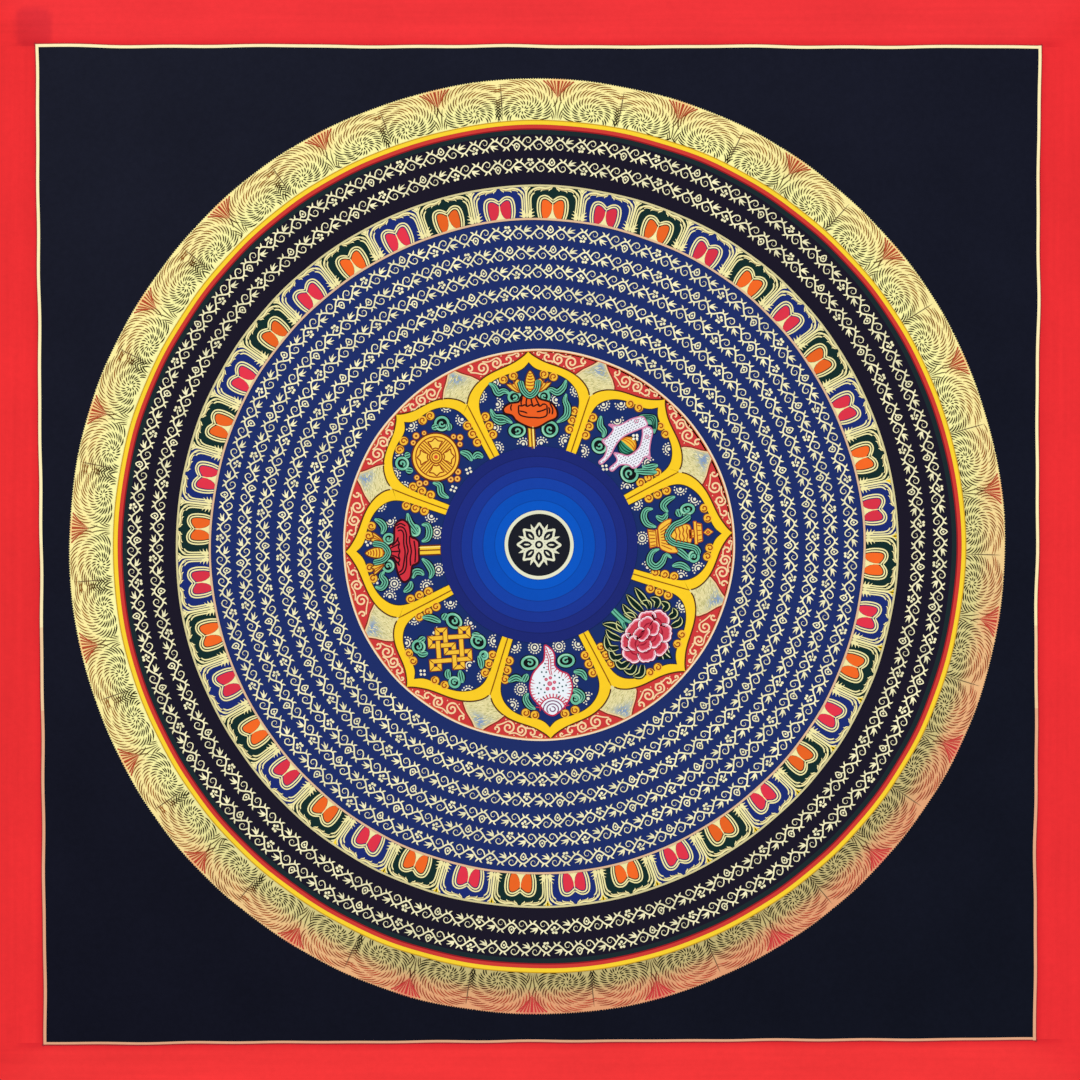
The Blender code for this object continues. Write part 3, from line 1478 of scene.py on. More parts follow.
@dataclass
class FlameRing:
    """The outer ring of gold flames: mirrored swirls of fine strokes.

    Each pair of colours is the one at the top, where the gold is painted lit, and the one at the
    lower right, where it is painted in shade.
    """

    inner: float = 196.9
    outer: float = 216.3
    pairs: int = 23
    first_fan: float = 2.6
    late: float = 3.0
    # turn where the gold's painted shade is deepest
    sheen_shade_turn: float = 157.0
    swirl: Spot = (15.5, 5.2)
    spacing: float = 1.12
    bands: tuple = ((0.9, 0.7), (2.9, 2.2), (5.7, 4.5), (9.3, 7.5), (13.7, 11.0),
                    (18.4, 14.8), (23.4, 18.8), (28.0, 22.6))
    slants: tuple = (12.0, 24.0, 38.0, 50.0, 57.0, 62.0, 66.0)
    seed: int = 46
    rim_pitch: float = 0.305
    rim_lean: float = 0.12
    rim_reach: Spot = (-0.9, 0.42)
    rim_width: float = 0.62
    dash_widths: Spot = (0.48, 0.56)
    # pairs: the colour at the top, then the same paint in painted shade at the lower right
    low_gold: tuple = ((255, 250, 168), (196, 180, 118))
    high_gold: tuple = ((255, 240, 160), (230, 160, 114))
    fan_gold: tuple = ((252, 206, 132), (232, 128, 100))
    inner_dash: tuple = ((34, 26, 0), (10, 6, 2))
    outer_dash: tuple = ((140, 82, 22), (176, 66, 48))
    fan_red: tuple = ((178, 70, 42), (206, 56, 60))
    foot_brown: tuple = ((88, 72, 30), (72, 54, 30))
    seam_brown: tuple = (104, 84, 62)

    @property
    def half_cell(self) -> float:
        """Give the turn from a fan's middle to the seam beside it."""
        return 0.5 * FULL_TURN / self.pairs

    @property
    def height(self) -> float:
        """Give the ring's width, which is the dashes' room upwards."""
        return self.outer - self.inner

    @property
    def cell_width(self) -> float:
        """Give the length of half a cell along the ring's middle."""
        return math.radians(self.half_cell) * 0.5 * (self.inner + self.outer)

    def sheen_shade(self, turn: Array) -> Array:
        """Give how deep the gold's painted shade is, 1 at the lower right and 0 at the top, as if
        light fell from the top.
        """
        return eased(-0.02, 1.0, np.cos(np.radians(turn - self.sheen_shade_turn)))

    def shifted(self, turn: Array) -> Array:
        """Give how many degrees late a fan comes, most of all at the bottom."""
        return self.late * (1.0 - np.cos(np.radians(turn - 10.0)))

    def ground(self, turn: Array, share: Array) -> Array:
        """Shade the gold under the dashes, redder outwards and at the fans, and browner towards the
        lower right as painted shade.

        Args:
            turn: turns from the top.
            share: 0 at the inner edge and 1 at the outer one.

        Returns:
            Display values, one row for each turn.
        """
        shade_share = self.sheen_shade(turn)
        low, high = mixed(*self.low_gold, shade_share), mixed(*self.high_gold, shade_share)
        rise = eased(0.35, 0.75, share)[:, None]
        colours = low * (1.0 - rise) + high * rise
        cell = 2.0 * self.half_cell
        nominal = turn - self.shifted(turn - self.shifted(turn))
        off = np.abs((nominal - self.first_fan + 0.5 * cell) % cell - 0.5 * cell)
        fan = (eased(2.0, 0.3, off) * eased(0.5, 0.9, share))[:, None]
        return colours * (1.0 - fan) + mixed(*self.fan_gold, shade_share) * fan

    def swirl_strokes(self, rng: np.random.Generator) -> tuple[Array, Array]:
        """Lay the dashes of one half cell.

        Args:
            rng: draws the small unevenness of a hand.

        Returns:
            Lines of four points, and the share of the way outwards of each.
        """
        lines = []
        for (low, high), slant in zip(zip(self.bands, self.bands[1:]), self.slants):
            low, high = np.array(low), np.array(high)
            size = 0.5 * (low + high).mean()
            spacing = self.spacing / math.cos(math.radians(slant))
            count = max(7, round(2.0 * math.pi * size / spacing))
            turn = (np.arange(count) + rng.uniform(-0.12, 0.12, count)) / count
            turn = 2.0 * math.pi * turn
            thick = float((high - low).mean())
            lean = thick * math.tan(math.radians(slant)) / size
            slip = rng.uniform(-0.05, 0.05, (count, 1)) + 0.08 * (np.arange(count) % 2)[:, None]
            share = np.linspace(0.04, 0.88, 4)[None] + slip
            axes = low + (high - low) * share[..., None]
            turned = turn[:, None] + lean * np.maximum(share, 0.0) ** 1.3
            lines.append(around(turned, axes[..., 0], axes[..., 1]) + self.swirl)
        lines = np.concatenate(lines)
        middle = 0.5 * (lines[:, 1] + lines[:, 2])
        wedge = 0.56 * (middle[:, 1] - 9.3)
        inside = ((middle[:, 0] > np.maximum(0.4, wedge)) & (middle[:, 1] > 0.9)
                  & (middle[:, 0] < self.cell_width - 0.5) & (middle[:, 1] < self.height - 0.5))
        lines = self.cut_at_seam(lines[inside])
        lines[..., 1] = np.clip(lines[..., 1], 0.3, self.height - 0.15)
        return lines, lines[:, :, 1].mean(1) / self.height

    def cut_at_seam(self, lines: Array) -> Array:
        """Shorten the dashes that cross a seam, so that they end beside it.

        Args:
            lines: dashes of four points each.

        Returns:
            The dashes, without those that would be mere dots.
        """
        for seam, side in ((self.cell_width - 0.2, 1.0), (0.15, -1.0)):
            for _ in range(2):
                lines = lines[:, ::-1]
                near, far = side * lines[:, 0, 0], side * lines[:, -1, 0]
                crosses = (near < side * seam) & (far > side * seam)
                share = (side * seam - near) / np.where(crosses, far - near, 1.0)
                share = np.where(crosses, share, 1.0)[:, None, None]
                lines = lines[:, :1] + (lines - lines[:, :1]) * share
        length = np.linalg.norm(lines[:, -1] - lines[:, 0], axis=1)
        lines = lines[length > 0.7]
        lines[..., 0] = np.clip(lines[..., 0], 0.1, self.cell_width - 0.1)
        return lines

    def fan_strokes(self) -> tuple[Array, Array]:
        """Lay the fan's spread strokes, and the short dark ones at its foot.

        Returns:
            The spread strokes and the short ones.
        """
        share = np.linspace(0.0, 1.0, 4)
        spread = [np.stack([0.2 + number * (0.45 + 1.1 * share**1.3),
                            11.0 + 0.7 * number + (self.height - 11.6 - 0.7 * number) * share], 1)
                  for number in (0.0, 1.0, 2.0, 3.0, 4.0)]
        foot = [np.stack([x + 0.06 * x * (rise - 1.0) ** 2, rise], 1)
                for x, rise in ((0.3, np.linspace(1.2, 10.4, 4)), (1.1, np.linspace(0.9, 6.6, 4)),
                                (1.9, np.linspace(0.8, 3.8, 4)))]
        return np.array(spread), np.array(foot)

    def build(self) -> list[Piece]:
        """Paint the ground, then the dashes of all the cells.

        Returns:
            The finished pieces.
        """
        ground = PaintFilm("flame_ground", GOLD_PAINT)
        base = Sketch()
        base.band(self.inner - 1.3, self.outer, Level.BAND, rows=5, columns=32 * self.pairs,
                  shade=self.ground)
        turn = np.arange(0.0, FULL_TURN, self.rim_pitch)
        first_half = (turn % (2.0 * self.half_cell)) < self.half_cell
        lean = self.rim_lean * np.where(first_half, 1.0, -1.0)
        tips = [fan_out(np.stack([turn + side * lean, turn * 0.0 + self.outer + rise], 1))
                for side, rise in zip((-1.0, 1.0), self.rim_reach)]
        base.strokes(np.stack(tips, 1), self.rim_width, self.ground(turn, turn * 0.0 + 1.0),
                     Level.CELL)
        ground.lay(base, Place(RING_CENTRE))
        rng = np.random.default_rng(self.seed)
        film = PaintFilm("flame_strokes", MATT_PAINT)
        fans, feet = self.fan_strokes()
        for number in range(2 * self.pairs):
            side = 1 if number % 2 == 0 else -1
            fan_turn = self.first_fan + (number + 1) // 2 * 2.0 * self.half_cell
            fan_turn += float(self.shifted(fan_turn))
            # painted shade of the gold's sheen, deepest at the lower right
            shade_share = float(self.sheen_shade(np.array(fan_turn + side * 0.5 * self.half_cell)))
            lines, share = self.swirl_strokes(rng)
            dark = mixed(mixed(*self.inner_dash, shade_share), mixed(*self.outer_dash, shade_share),
                         eased(0.2, 0.75, share))
            dark = dark * rng.uniform(0.85, 1.15, (len(dark), 1))
            sketch = Sketch()
            width = rng.uniform(*self.dash_widths, len(lines)) * (1.12 - 0.30 * share)
            sketch.strokes(lines, width, dark, Level.LINE, Tip.BLUNT)
            sketch.strokes(fans, 0.66, mixed(*self.fan_red, shade_share), Level.LINE, Tip.FLARE)
            sketch.strokes(feet, 0.46, mixed(*self.foot_brown, shade_share), Level.LINE, Tip.LEAF)
            if side == 1:
                rises = (1.2, 0.36 * self.height, 0.7 * self.height, self.height - 1.6)
                seam = np.array([(self.cell_width, rise) for rise in rises])
                sketch.path(seam, 0.38, self.seam_brown, Level.LINE, Tip.LEAF)
            film.lay(sketch, Place(RING_CENTRE, fan_turn, self.inner, True, side))
        return [ground.build(), film.build()]


@dataclass
class VineRings:
    """Rings of running vine in gold: curls, buds and berries on a wavy stem."""

    name: str
    rings: tuple
    stretch: float = 5.0
    width: float = 0.70
    colour: Pigment = Pigment.PALE_GOLD
    seed: int = 7

    def stem(self, span: float) -> Sketch:
        """Draw one rise of the wavy stem with two leaves on its outer side.

        Args:
            span: length of one rise along the ring.

        Returns:
            The sketch.
        """
        sketch = Sketch()
        across = np.linspace(-0.5, 0.5, 7)
        rise = np.stack([span * across, 1.75 * np.cos(math.pi * across)], 1)
        sketch.path(rise, self.width, self.colour)
        for leaf in ([(-0.3, 1.7), (-0.7, 2.6), (-1.6, 3.2)], [(0.3, 1.7), (1.1, 2.3), (1.6, 3.4)]):
            sketch.line(leaf, 1.15 * self.width, self.colour, tip=Tip.SPEAR, fine=1.2)
        return sketch

    def curl(self, span: float) -> Sketch:
        """Add a curl that winds up under the rise.

        Args:
            span: length of one rise along the ring.

        Returns:
            The sketch.
        """
        sketch = self.stem(span)
        branch = [(-0.46 * span, -0.2), (-1.5, -1.9), (0.1, -2.9), (1.5, -1.8), (1.0, -0.4),
                  (-0.3, -0.4), (-0.4, -1.5)]
        sketch.line(branch, 0.9 * self.width, self.colour, tip=Tip.TAIL, fine=1.0)
        return sketch

    def bud(self, span: float) -> Sketch:
        """Add a pointed bud with a seed in it.

        Args:
            span: length of one rise along the ring.

        Returns:
            The sketch.
        """
        sketch = self.stem(span)
        sketch.line([(-0.46 * span, -0.2), (-1.2, -1.0), (-0.5, -0.5)], 0.8 * self.width,
                    self.colour, fine=1.2)
        rim = [(0.0, 0.1), (1.3, -0.9), (0.9, -2.2), (0.0, -3.2), (-0.9, -2.2), (-1.2, -0.9)]
        sketch.line(rim, 0.8 * self.width, self.colour, closed=True, fine=1.0)
        sketch.dots([(0.0, -1.4)], 0.5, self.colour, sides=7)
        return sketch

    def berries(self, span: float) -> Sketch:
        """Add three berries on short stalks.

        Args:
            span: length of one rise along the ring.

        Returns:
            The sketch.
        """
        sketch = self.stem(span)
        sketch.line([(-0.46 * span, -0.2), (-1.0, -1.3), (0.2, -1.5)], 0.8 * self.width,
                    self.colour, fine=1.2)
        sketch.dots([(-0.5, -2.7), (0.8, -2.6), (1.3, -1.2), (0.2, -0.3)], 0.66, self.colour,
                    sides=8)
        return sketch

    def spray(self, span: float) -> Sketch:
        """Add a spray of three leaves.

        Args:
            span: length of one rise along the ring.

        Returns:
            The sketch.
        """
        sketch = self.stem(span)
        root = (-0.44 * span, -0.3)
        for tip_x, tip_y in ((1.4, -0.5), (1.3, -2.2), (-0.7, -3.1)):
            bend = (0.5 * (root[0] + tip_x) + 0.1, 0.5 * (root[1] + tip_y) - 0.35)
            sketch.line([root, bend, (tip_x, tip_y)], 1.15 * self.width, self.colour,
                        tip=Tip.SPEAR, fine=1.2)
        return sketch

    def build(self) -> Piece:
        """Run a vine round each ring, every other rise turned over.

        Returns:
            The finished piece.
        """
        rng = np.random.default_rng(self.seed)
        film = PaintFilm(self.name, GOLD_PAINT)
        for radius, start in self.rings:
            length = 2.0 * math.pi * radius
            count = 2 * round(length / self.stretch / 2.0)
            span = length / count
            kinds = [self.curl(span), self.bud(span), self.curl(span), self.spray(span),
                     self.berries(span), self.curl(span), self.spray(span)]
            turned = [self.turned_over(kind) for kind in kinds]
            for number in range(count):
                kind = (kinds, turned)[number % 2][number % len(kinds)]
                place = Place(RING_CENTRE, start + FULL_TURN * number / count, radius, True)
                film.lay(kind, place, float(rng.uniform(0.93, 1.02)))
        return film.build()

    @staticmethod
    def turned_over(sketch: Sketch) -> Sketch:
        """Copy a sketch with its outer side inwards.

        Args:
            sketch: what is copied.

        Returns:
            The copy.
        """
        flipped = [points * (1.0, -1.0, 1.0) for points in sketch.points]
        return Sketch(flipped, sketch.triangles, sketch.colours, sketch.levels,
                      sketch.rounded, sketch.size)


# ---------------------------------------------------------- lotus petals


@dataclass
class LotusRing:
    """Forty lotus petals, orange on green and red on blue, under gold leaves."""

    inner: float = 151.8
    outer: float = 167.1
    petals: int = 40
    first_turn: float = 2.8
    line_width: float = 0.62
    gold: tuple = (247, 236, 168)
    seed: int = 12
    yellow_corners: Spot = (80.0, 215.0)
    lobe: tuple = ((-2.5, 0.1), (-4.2, 0.1), (-4.2, 0.1), (-4.85, 2.6), (-4.9, 6.2),
                   (-4.5, 8.1), (-3.6, 8.6), (-2.2, 8.2), (-0.9, 7.1), (-0.3, 6.3),
                   (-0.2, 5.0), (-0.8, 2.6), (-1.7, 0.9))
    rim: tuple = ((-5.0, 0.0), (-5.6, 3.0), (-5.6, 6.6), (-5.0, 8.7), (-3.6, 9.4),
                  (-2.0, 8.9), (-0.6, 7.8), (0.0, 7.3))
    outer_rim: tuple = ((-6.0, 0.0), (-6.7, 3.0), (-6.7, 7.0), (-5.8, 9.6), (-3.9, 10.5),
                        (-2.1, 10.1), (-0.7, 9.0), (0.0, 8.5))
    leaves: tuple = (
        (((-0.6, 14.6), (-3.4, 13.7), (-6.4, 14.0), (-9.0, 13.2), (-10.2, 11.0)), 1.25),
        (((-0.8, 14.2), (-1.9, 13.5), (-2.2, 12.6)), 0.9),
        (((-3.0, 13.7), (-5.0, 13.2), (-5.6, 12.3)), 0.9),
        (((-5.2, 13.7), (-7.6, 13.2), (-8.4, 12.2)), 0.9),
    )
    tuft: tuple = (
        (((-11.3, 0.8), (-10.4, 3.2), (-8.9, 4.4)), 0.85),
        (((-11.2, 0.5), (-10.0, 2.2), (-8.4, 2.9)), 0.85),
        (((-10.9, 0.3), (-9.6, 1.0), (-8.3, 1.2)), 0.75),
    )

    @property
    def half_cell(self) -> float:
        """Give half of a petal's share of the inner edge."""
        return math.pi * self.inner / self.petals

    def ground(self, colour: Colour) -> Sketch:
        """Fill a petal's share of the ring.

        Args:
            colour: its colour.

        Returns:
            The sketch.
        """
        sketch = Sketch()
        x = np.linspace(-self.half_cell, self.half_cell, 13)
        low = np.stack([x, 0.0 * x], 1)
        sketch.ribbon(low, low + (0.0, self.outer - self.inner), colour, Level.CELL)
        return sketch

    def lobes(self, colour: Colour) -> Sketch:
        """Paint the petal's two lobes.

        Args:
            colour: their colour.

        Returns:
            The sketch.
        """
        sketch = Sketch()
        for side in (-1, 1):
            sketch.shape(mirrored(self.lobe, side), colour, Level.SHAPE, fine=0.7)
        return sketch

    def heart(self) -> Sketch:
        """Paint the gold wedge between the lobes and the two lines round them.

        Returns:
            The sketch.
        """
        sketch = Sketch()
        wedge = [(-2.6, 0.0), (-1.5, 0.9), (-0.7, 2.4), (-0.25, 4.4), (0.0, 7.2),
                 (0.25, 4.4), (0.7, 2.4), (1.5, 0.9), (2.6, 0.0)]
        sketch.shape(wedge, self.gold, Level.SHADE, smooth=False)
        sketch.line([(0.0, 3.8), (0.0, 7.3)], 0.42, self.gold)
        for side in (-1, 1):
            sketch.line(mirrored(self.rim, side), self.line_width, self.gold)
            sketch.line(mirrored(self.outer_rim, side), self.line_width, self.gold)
        return sketch

    def arch(self) -> Sketch:
        """Draw the arch's lines and the leaves that hang in it.

        Returns:
            The sketch.
        """
        sketch = Sketch()
        edge, top = self.half_cell, self.outer - self.inner
        for side in (-1, 1):
            for gap, width, bend in ((0.15, 0.62, 13.2), (1.05, 0.55, 12.0),
                                     (1.95, 0.60, 10.6)):
                line = [(gap - edge, 0.3), (gap - edge, 5.0), (gap - edge, bend - 2.0),
                        (gap - edge + 0.5, bend), (gap - edge + 1.7, bend + 1.2)]
                sketch.line(mirrored(line, side), width, self.gold)
            for path, width in (*self.leaves, *self.tuft):
                sketch.line(mirrored(path, side), width, self.gold, Level.SCARF, Tip.SPEAR)
            vein = [(-0.9, 14.3), (-3.4, 13.3), (-6.6, 13.6), (-9.1, 12.7)]
            sketch.line(mirrored(vein, side), 0.22, Pigment.BROWN, Level.FOLD)
            corner = [(side * (edge - 1.6), top), (side * edge, top - 2.4), (side * edge, top)]
            sketch.shape(corner, self.gold, Level.SCARF, smooth=False)
        return sketch

    def corners(self) -> Sketch:
        """Fill the two outer corners of a petal's share with yellow.

        Returns:
            The sketch.
        """
        sketch = Sketch()
        edge, top = self.half_cell, self.outer - self.inner
        for side in (-1, 1):
            corner = [(side * (edge - 1.5), top - 0.3), (side * (edge + 0.35), top - 3.0),
                      (side * (edge + 0.35), top - 0.3)]
            sketch.shape(corner, Pigment.YELLOW, Level.FOLD, smooth=False)
        return sketch

    def build(self) -> list[Piece]:
        """Copy two kinds of petal round the ring.

        Returns:
            The finished pieces.
        """
        grounds = PaintFilm("lotus_petals", MATT_PAINT)
        gold = PaintFilm("lotus_gold_lines", GOLD_PAINT)
        kinds = ((self.ground(Pigment.LOTUS_GREEN), self.lobes(Pigment.LOTUS_ORANGE)),
                 (self.ground(Pigment.LOTUS_BLUE), self.lobes(Pigment.LOTUS_RED)))
        heart, arch, corners = self.heart(), self.arch(), self.corners()
        rng = np.random.default_rng(self.seed)
        for number in range(self.petals):
            turn = self.first_turn + FULL_TURN * number / self.petals
            place = Place(RING_CENTRE, turn, self.inner, bent=True)
            ground, lobes = kinds[number % 2]
            shifted = Place(RING_CENTRE, turn + rng.uniform(-0.2, 0.2), self.inner, bent=True)
            grounds.lay(ground, place)
            grounds.lay(lobes, shifted, float(rng.uniform(0.96, 1.04)))
            gold.lay(heart, shifted)
            gold.lay(arch, place)
            if self.yellow_corners[0] < turn < self.yellow_corners[1]:
                grounds.lay(corners, place)
        return [grounds.build(), gold.build()]


# -------------------------------------------------------- the medallion


@dataclass(frozen=True)
class Petal:
    """One of the medallion's petals: its left edge, tip and right edge in turns."""

    left: float
    tip: float
    right: float
    shoulder: float = 0.0

    def at(self, points: Line, side: int = 1) -> Array:
        """Place points on the petal.

        Args:
            points: rows of a share, 0 at the tip and 1 at the edge, and a radius.
            side: 1 for the half that is clockwise of the tip, -1 for the other.

        Returns:
            Places round the medallion's middle.
        """
        share, reach = np.asarray(points, float).reshape(-1, 2).T
        share = share * side
        wide = np.where(share > 0.0, self.right - self.tip, self.tip - self.left)
        return fan_out(np.stack([self.tip + share * wide, reach], 1))

    def turn_at(self, share: float) -> float:
        """Give the turn at a signed share."""
        wide = self.right - self.tip if share > 0.0 else self.tip - self.left
        return self.tip + share * wide


@dataclass
class Medallion:
    """Eight arched petals round the middle, with cushions and scrolls between."""

    outer: float = 90.3
    inner: float = 44.5
    tips: tuple = (-3.2, 40.9, 86.4, 130.7, 176.6, 223.1, 268.1, 312.6)
    dividers: tuple = (-27.0, 19.1, 62.2, 106.7, 152.6, 198.1, 242.6, 291.0, 333.0)
    shoulders: tuple = (0.4, -0.8, -0.2, -1.1, 0.6, -0.3, 0.2, 0.9)
    arch_outer: tuple = ((0.0, 89.9), (0.0, 89.9), (0.05, 88.1), (0.11, 86.6), (0.2, 84.9),
                         (0.3, 83.7), (0.4, 82.9), (0.5, 82.2), (0.6, 81.4), (0.7, 80.3),
                         (0.8, 78.8), (0.9, 76.6), (0.96, 74.6), (1.0, 72.4), (1.0, 72.4),
                         (1.0, 60.0), (1.0, 44.0))
    arch_inner: tuple = ((0.0, 84.6), (0.0, 84.6), (0.04, 83.0), (0.09, 81.6), (0.17, 80.5),
                         (0.3, 79.8), (0.42, 79.1), (0.52, 78.2), (0.61, 77.0), (0.7, 75.2),
                         (0.78, 72.9), (0.84, 69.9), (0.873, 66.0), (0.882, 60.0),
                         (0.872, 53.0), (0.860, 44.0))
    tip_curls: tuple = ((0.225, 79.0), (0.37, 78.2))
    side_curls: tuple = (64.2, 59.8, 55.4)
    scroll: tuple = (250, 212, 162)
    cushion_red: tuple = (140, 50, 36)
    hatch_seed: int = 31
    hatch_tones: tuple = ((246, 236, 180), (196, 190, 128))
    curl_ground: tuple = (246, 188, 58)
    curl_edge: tuple = (110, 56, 26)
    curl_line: tuple = (158, 66, 22)
    frame_lines: tuple = ((84, 44, 26), (58, 44, 34), (136, 76, 20))
    rim_lines: tuple = ((0.0, 0.8, (246, 222, 186)), (0.62, 0.4, (226, 120, 70)))
    scrolls: tuple = ((0.145, 88.3, 1.1), (0.265, 87.0, 1.9), (0.42, 86.3, 2.6),
                      (0.605, 85.9, 3.0), (0.765, 87.6, 1.7))

    @property
    def petals(self) -> list[Petal]:
        """Give the eight petals."""
        edges = zip(self.dividers, self.tips, self.dividers[1:], self.shoulders)
        return [Petal(*edge) for edge in edges]

    def arch(self, petal: Petal, edge: tuple, count: int = 97) -> Array:
        """Give a frame's edge from its left foot over the tip to its right foot.

        Args:
            petal: the petal that it frames.
            edge: rows of a share, 0 at the tip and 1 at the foot, and a radius.
            count: how many points are wanted.

        Returns:
            Places along the edge.
        """
        edge = np.array(edge)
        edge[:, 1] += petal.shoulder * np.sin(math.pi * edge[:, 0])
        left = smooth_line(petal.at(edge[::-1], -1))
        right = smooth_line(petal.at(edge, 1))
        half = count // 2 + 1
        return np.vstack([evenly(left, half), evenly(right, half)[1:]])

    def grounds(self) -> Piece:
        """Paint the red ground, the petals' blue and the cream cushions.

        Returns:
            The finished piece.
        """
        sketch = Sketch()
        sketch.band(self.inner, self.outer, Level.BAND, colour=Pigment.MEDALLION_RED)
        for petal in self.petals:
            sketch.shape(self.arch(petal, self.arch_inner), Pigment.PETAL_BLUE, Level.CELL,
                         smooth=False)
        for number, petal in enumerate(self.petals):
            self.cushion(sketch, petal, self.petals[(number + 1) % 8])
        return one_film("medallion_grounds", MATT_PAINT, sketch, Place(HEART_CENTRE))

    def cushion(self, sketch: Sketch, before: Petal, after: Petal) -> None:
        """Fill the cushion between two petals, with a patch of sky colour in it.

        Args:
            sketch: what it is drawn in.
            before: the petal on its left.
            after: the petal on its right.
        """
        blank = BENCH.grid(12, 18)
        across, up = blank.points[:, 0], 0.5 * (blank.points[:, 1] + 1.0)
        heights = (0.0, 0.2, 0.36, 0.5, 0.68, 0.84, 1.0)
        share = np.interp(up, heights, (1.0, 0.88, 0.78, 0.69, 0.775, 0.885, 0.955))
        reach = np.interp(up, heights, (71.4, 75.0, 77.4, 80.2, 83.8, 87.0, 90.0))
        left = before.at(np.stack([share, reach], 1))
        right = after.at(np.stack([share, reach], 1), -1)
        blend = 0.5 * (across + 1.0)[:, None]
        flat = left * (1.0 - blend) + right * blend
        middle = np.linalg.norm(flat, axis=1) - reach
        flat *= (1.0 - middle / np.linalg.norm(flat, axis=1))[:, None]
        sky = (np.exp(-((up - 0.80) / 0.15) ** 2) * np.exp(-(across / 0.75) ** 2)
               * (0.92 + 0.2 * np.sin(5.0 * across + 9.0 * up)))
        colours = mixed(Pigment.SAND, Pigment.SKY_PATCH, np.clip(1.05 * sky, 0.0, 0.88))
        sketch.coat(flat, blank, colours, Level.CELL)

    def cushion_lines(self, film: PaintFilm) -> None:
        """Hatch the cushions and edge them in pale and red lines.

        Args:
            film: the paint that they belong to.
        """
        rng = np.random.default_rng(self.hatch_seed)
        sketch = Sketch()
        for petal in self.petals:
            for side in (-1, 1):
                for shift, width, colour in ((-0.012, 0.5, self.cushion_red),
                                             (0.012, 0.6, Pigment.CREAM)):
                    line = petal.at([(0.69 + shift, 80.6), (0.775 + shift, 83.8),
                                     (0.885 + shift, 87.0), (0.955 + shift, 89.8)], side)
                    sketch.line(line, width, colour, Level.LINE, smooth=False)
                starts = rng.uniform((0.70, 75.0), (0.99, 88.0), (150, 2))
                low = np.interp(starts[:, 0], (0.7, 0.8, 0.9, 1.0), (80.3, 78.8, 76.6, 72.8))
                high = np.interp(starts[:, 0], (0.7, 0.775, 0.885, 0.955),
                                 (80.0, 83.0, 86.3, 88.6))
                low += 0.8 + petal.shoulder * np.sin(math.pi * starts[:, 0])
                kept = starts[(starts[:, 1] > low) & (starts[:, 1] < high)]
                spots = petal.at(kept, side)
                lean = np.radians(petal.turn_at(side) + 62.0 + rng.normal(0.0, 9.0, len(kept)))
                step = around(lean, 0.55)
                pale = rng.uniform(0.0, 1.0, len(kept)) > 0.5
                shades = np.where(pale[:, None], *self.hatch_tones)
                sketch.strokes(np.stack([spots - step, spots + step], 1), 0.3, shades,
                               Level.SHADE, Tip.EVEN)
        film.lay(sketch, Place(HEART_CENTRE))

    def scroll_lines(self, film: PaintFilm) -> None:
        """Wind cream scrolls into the red spandrels.

        Args:
            film: the paint that they belong to.
        """
        for petal in self.petals:
            for side in (-1, 1):
                sketch = Sketch()
                spots = [(petal.at((share, reach), side)[0], size)
                         for share, reach, size in self.scrolls]
                for number, (spot, size) in enumerate(spots):
                    turning = side * (1 if number % 2 else -1)
                    start = 180.0 if number % 2 else 0.0
                    turns = (0.95 if size < 2.0 else 1.45) * turning
                    wound = spiral(tuple(spot), size, petal.tip + start, turns, 25, 0.16)
                    sketch.line(wound, 0.84, self.scroll, Level.SCARF, smooth=False)
                    if number + 1 < len(spots):
                        ahead, next_size = spots[number + 1]
                        axis = around(math.radians(petal.tip), 1.0)
                        lift = 1.0 if number % 2 == 0 else -1.0
                        tail = [wound[0], 0.5 * (wound[0] + ahead) + 0.6 * lift * axis,
                                ahead + lift * axis * next_size * 0.98]
                        sketch.line(tail, 0.66, self.scroll, Level.SCARF, fine=0.8)
                seeds = petal.at([(0.20, 85.9), (0.335, 84.6), (0.34, 89.2), (0.505, 83.5),
                                  (0.51, 89.0), (0.075, 88.9), (0.66, 82.4)], side)
                sketch.dots(seeds, 0.45, self.scroll, Level.SCARF, 3)
                film.lay(sketch, Place(HEART_CENTRE))

    def frame_curl(self, wind: int) -> Sketch:
        """Draw a frame's curl, wound one way or the other.

        Args:
            wind: 1 to wind clockwise, -1 for the other way.

        Returns:
            The sketch.
        """
        sketch = Sketch()
        sketch.dots([(0.0, 0.0)], 2.35, self.curl_edge, Level.SHADE, 18)
        sketch.shape(arc((0.0, 0.0), 1.95, 0.0, 345.0, 20), self.curl_ground, Level.SHAPE,
                     smooth=False)
        wound = spiral((0.0, 0.0), 1.5, -150.0 * wind, 1.0 * wind, 25, 0.34)
        sketch.line(wound, 0.6, self.curl_line, Level.LINE, smooth=False)
        return sketch

    def frames(self) -> Piece:
        """Paint the yellow frames with their curls.

        Returns:
            The finished piece.
        """
        film = PaintFilm("medallion_frames", MATT_PAINT)
        sketch = Sketch()
        for petal in self.petals:
            outer, inner = self.arch(petal, self.arch_outer), self.arch(petal, self.arch_inner)
            sketch.ribbon(outer, inner, Pigment.FRAME_YELLOW, Level.SHADE)
        film.lay(sketch, Place(HEART_CENTRE))
        curls = {wind: self.frame_curl(wind) for wind in (-1, 1)}
        for petal in self.petals:
            for side in (-1, 1):
                for share, reach in self.tip_curls:
                    place = Place(HEART_CENTRE, petal.turn_at(side * share), reach)
                    film.lay(curls[side], place)
                for reach in self.side_curls:
                    turn = petal.turn_at(side * 0.815)
                    film.lay(curls[-side], Place(HEART_CENTRE, turn, reach))
        return film.build()

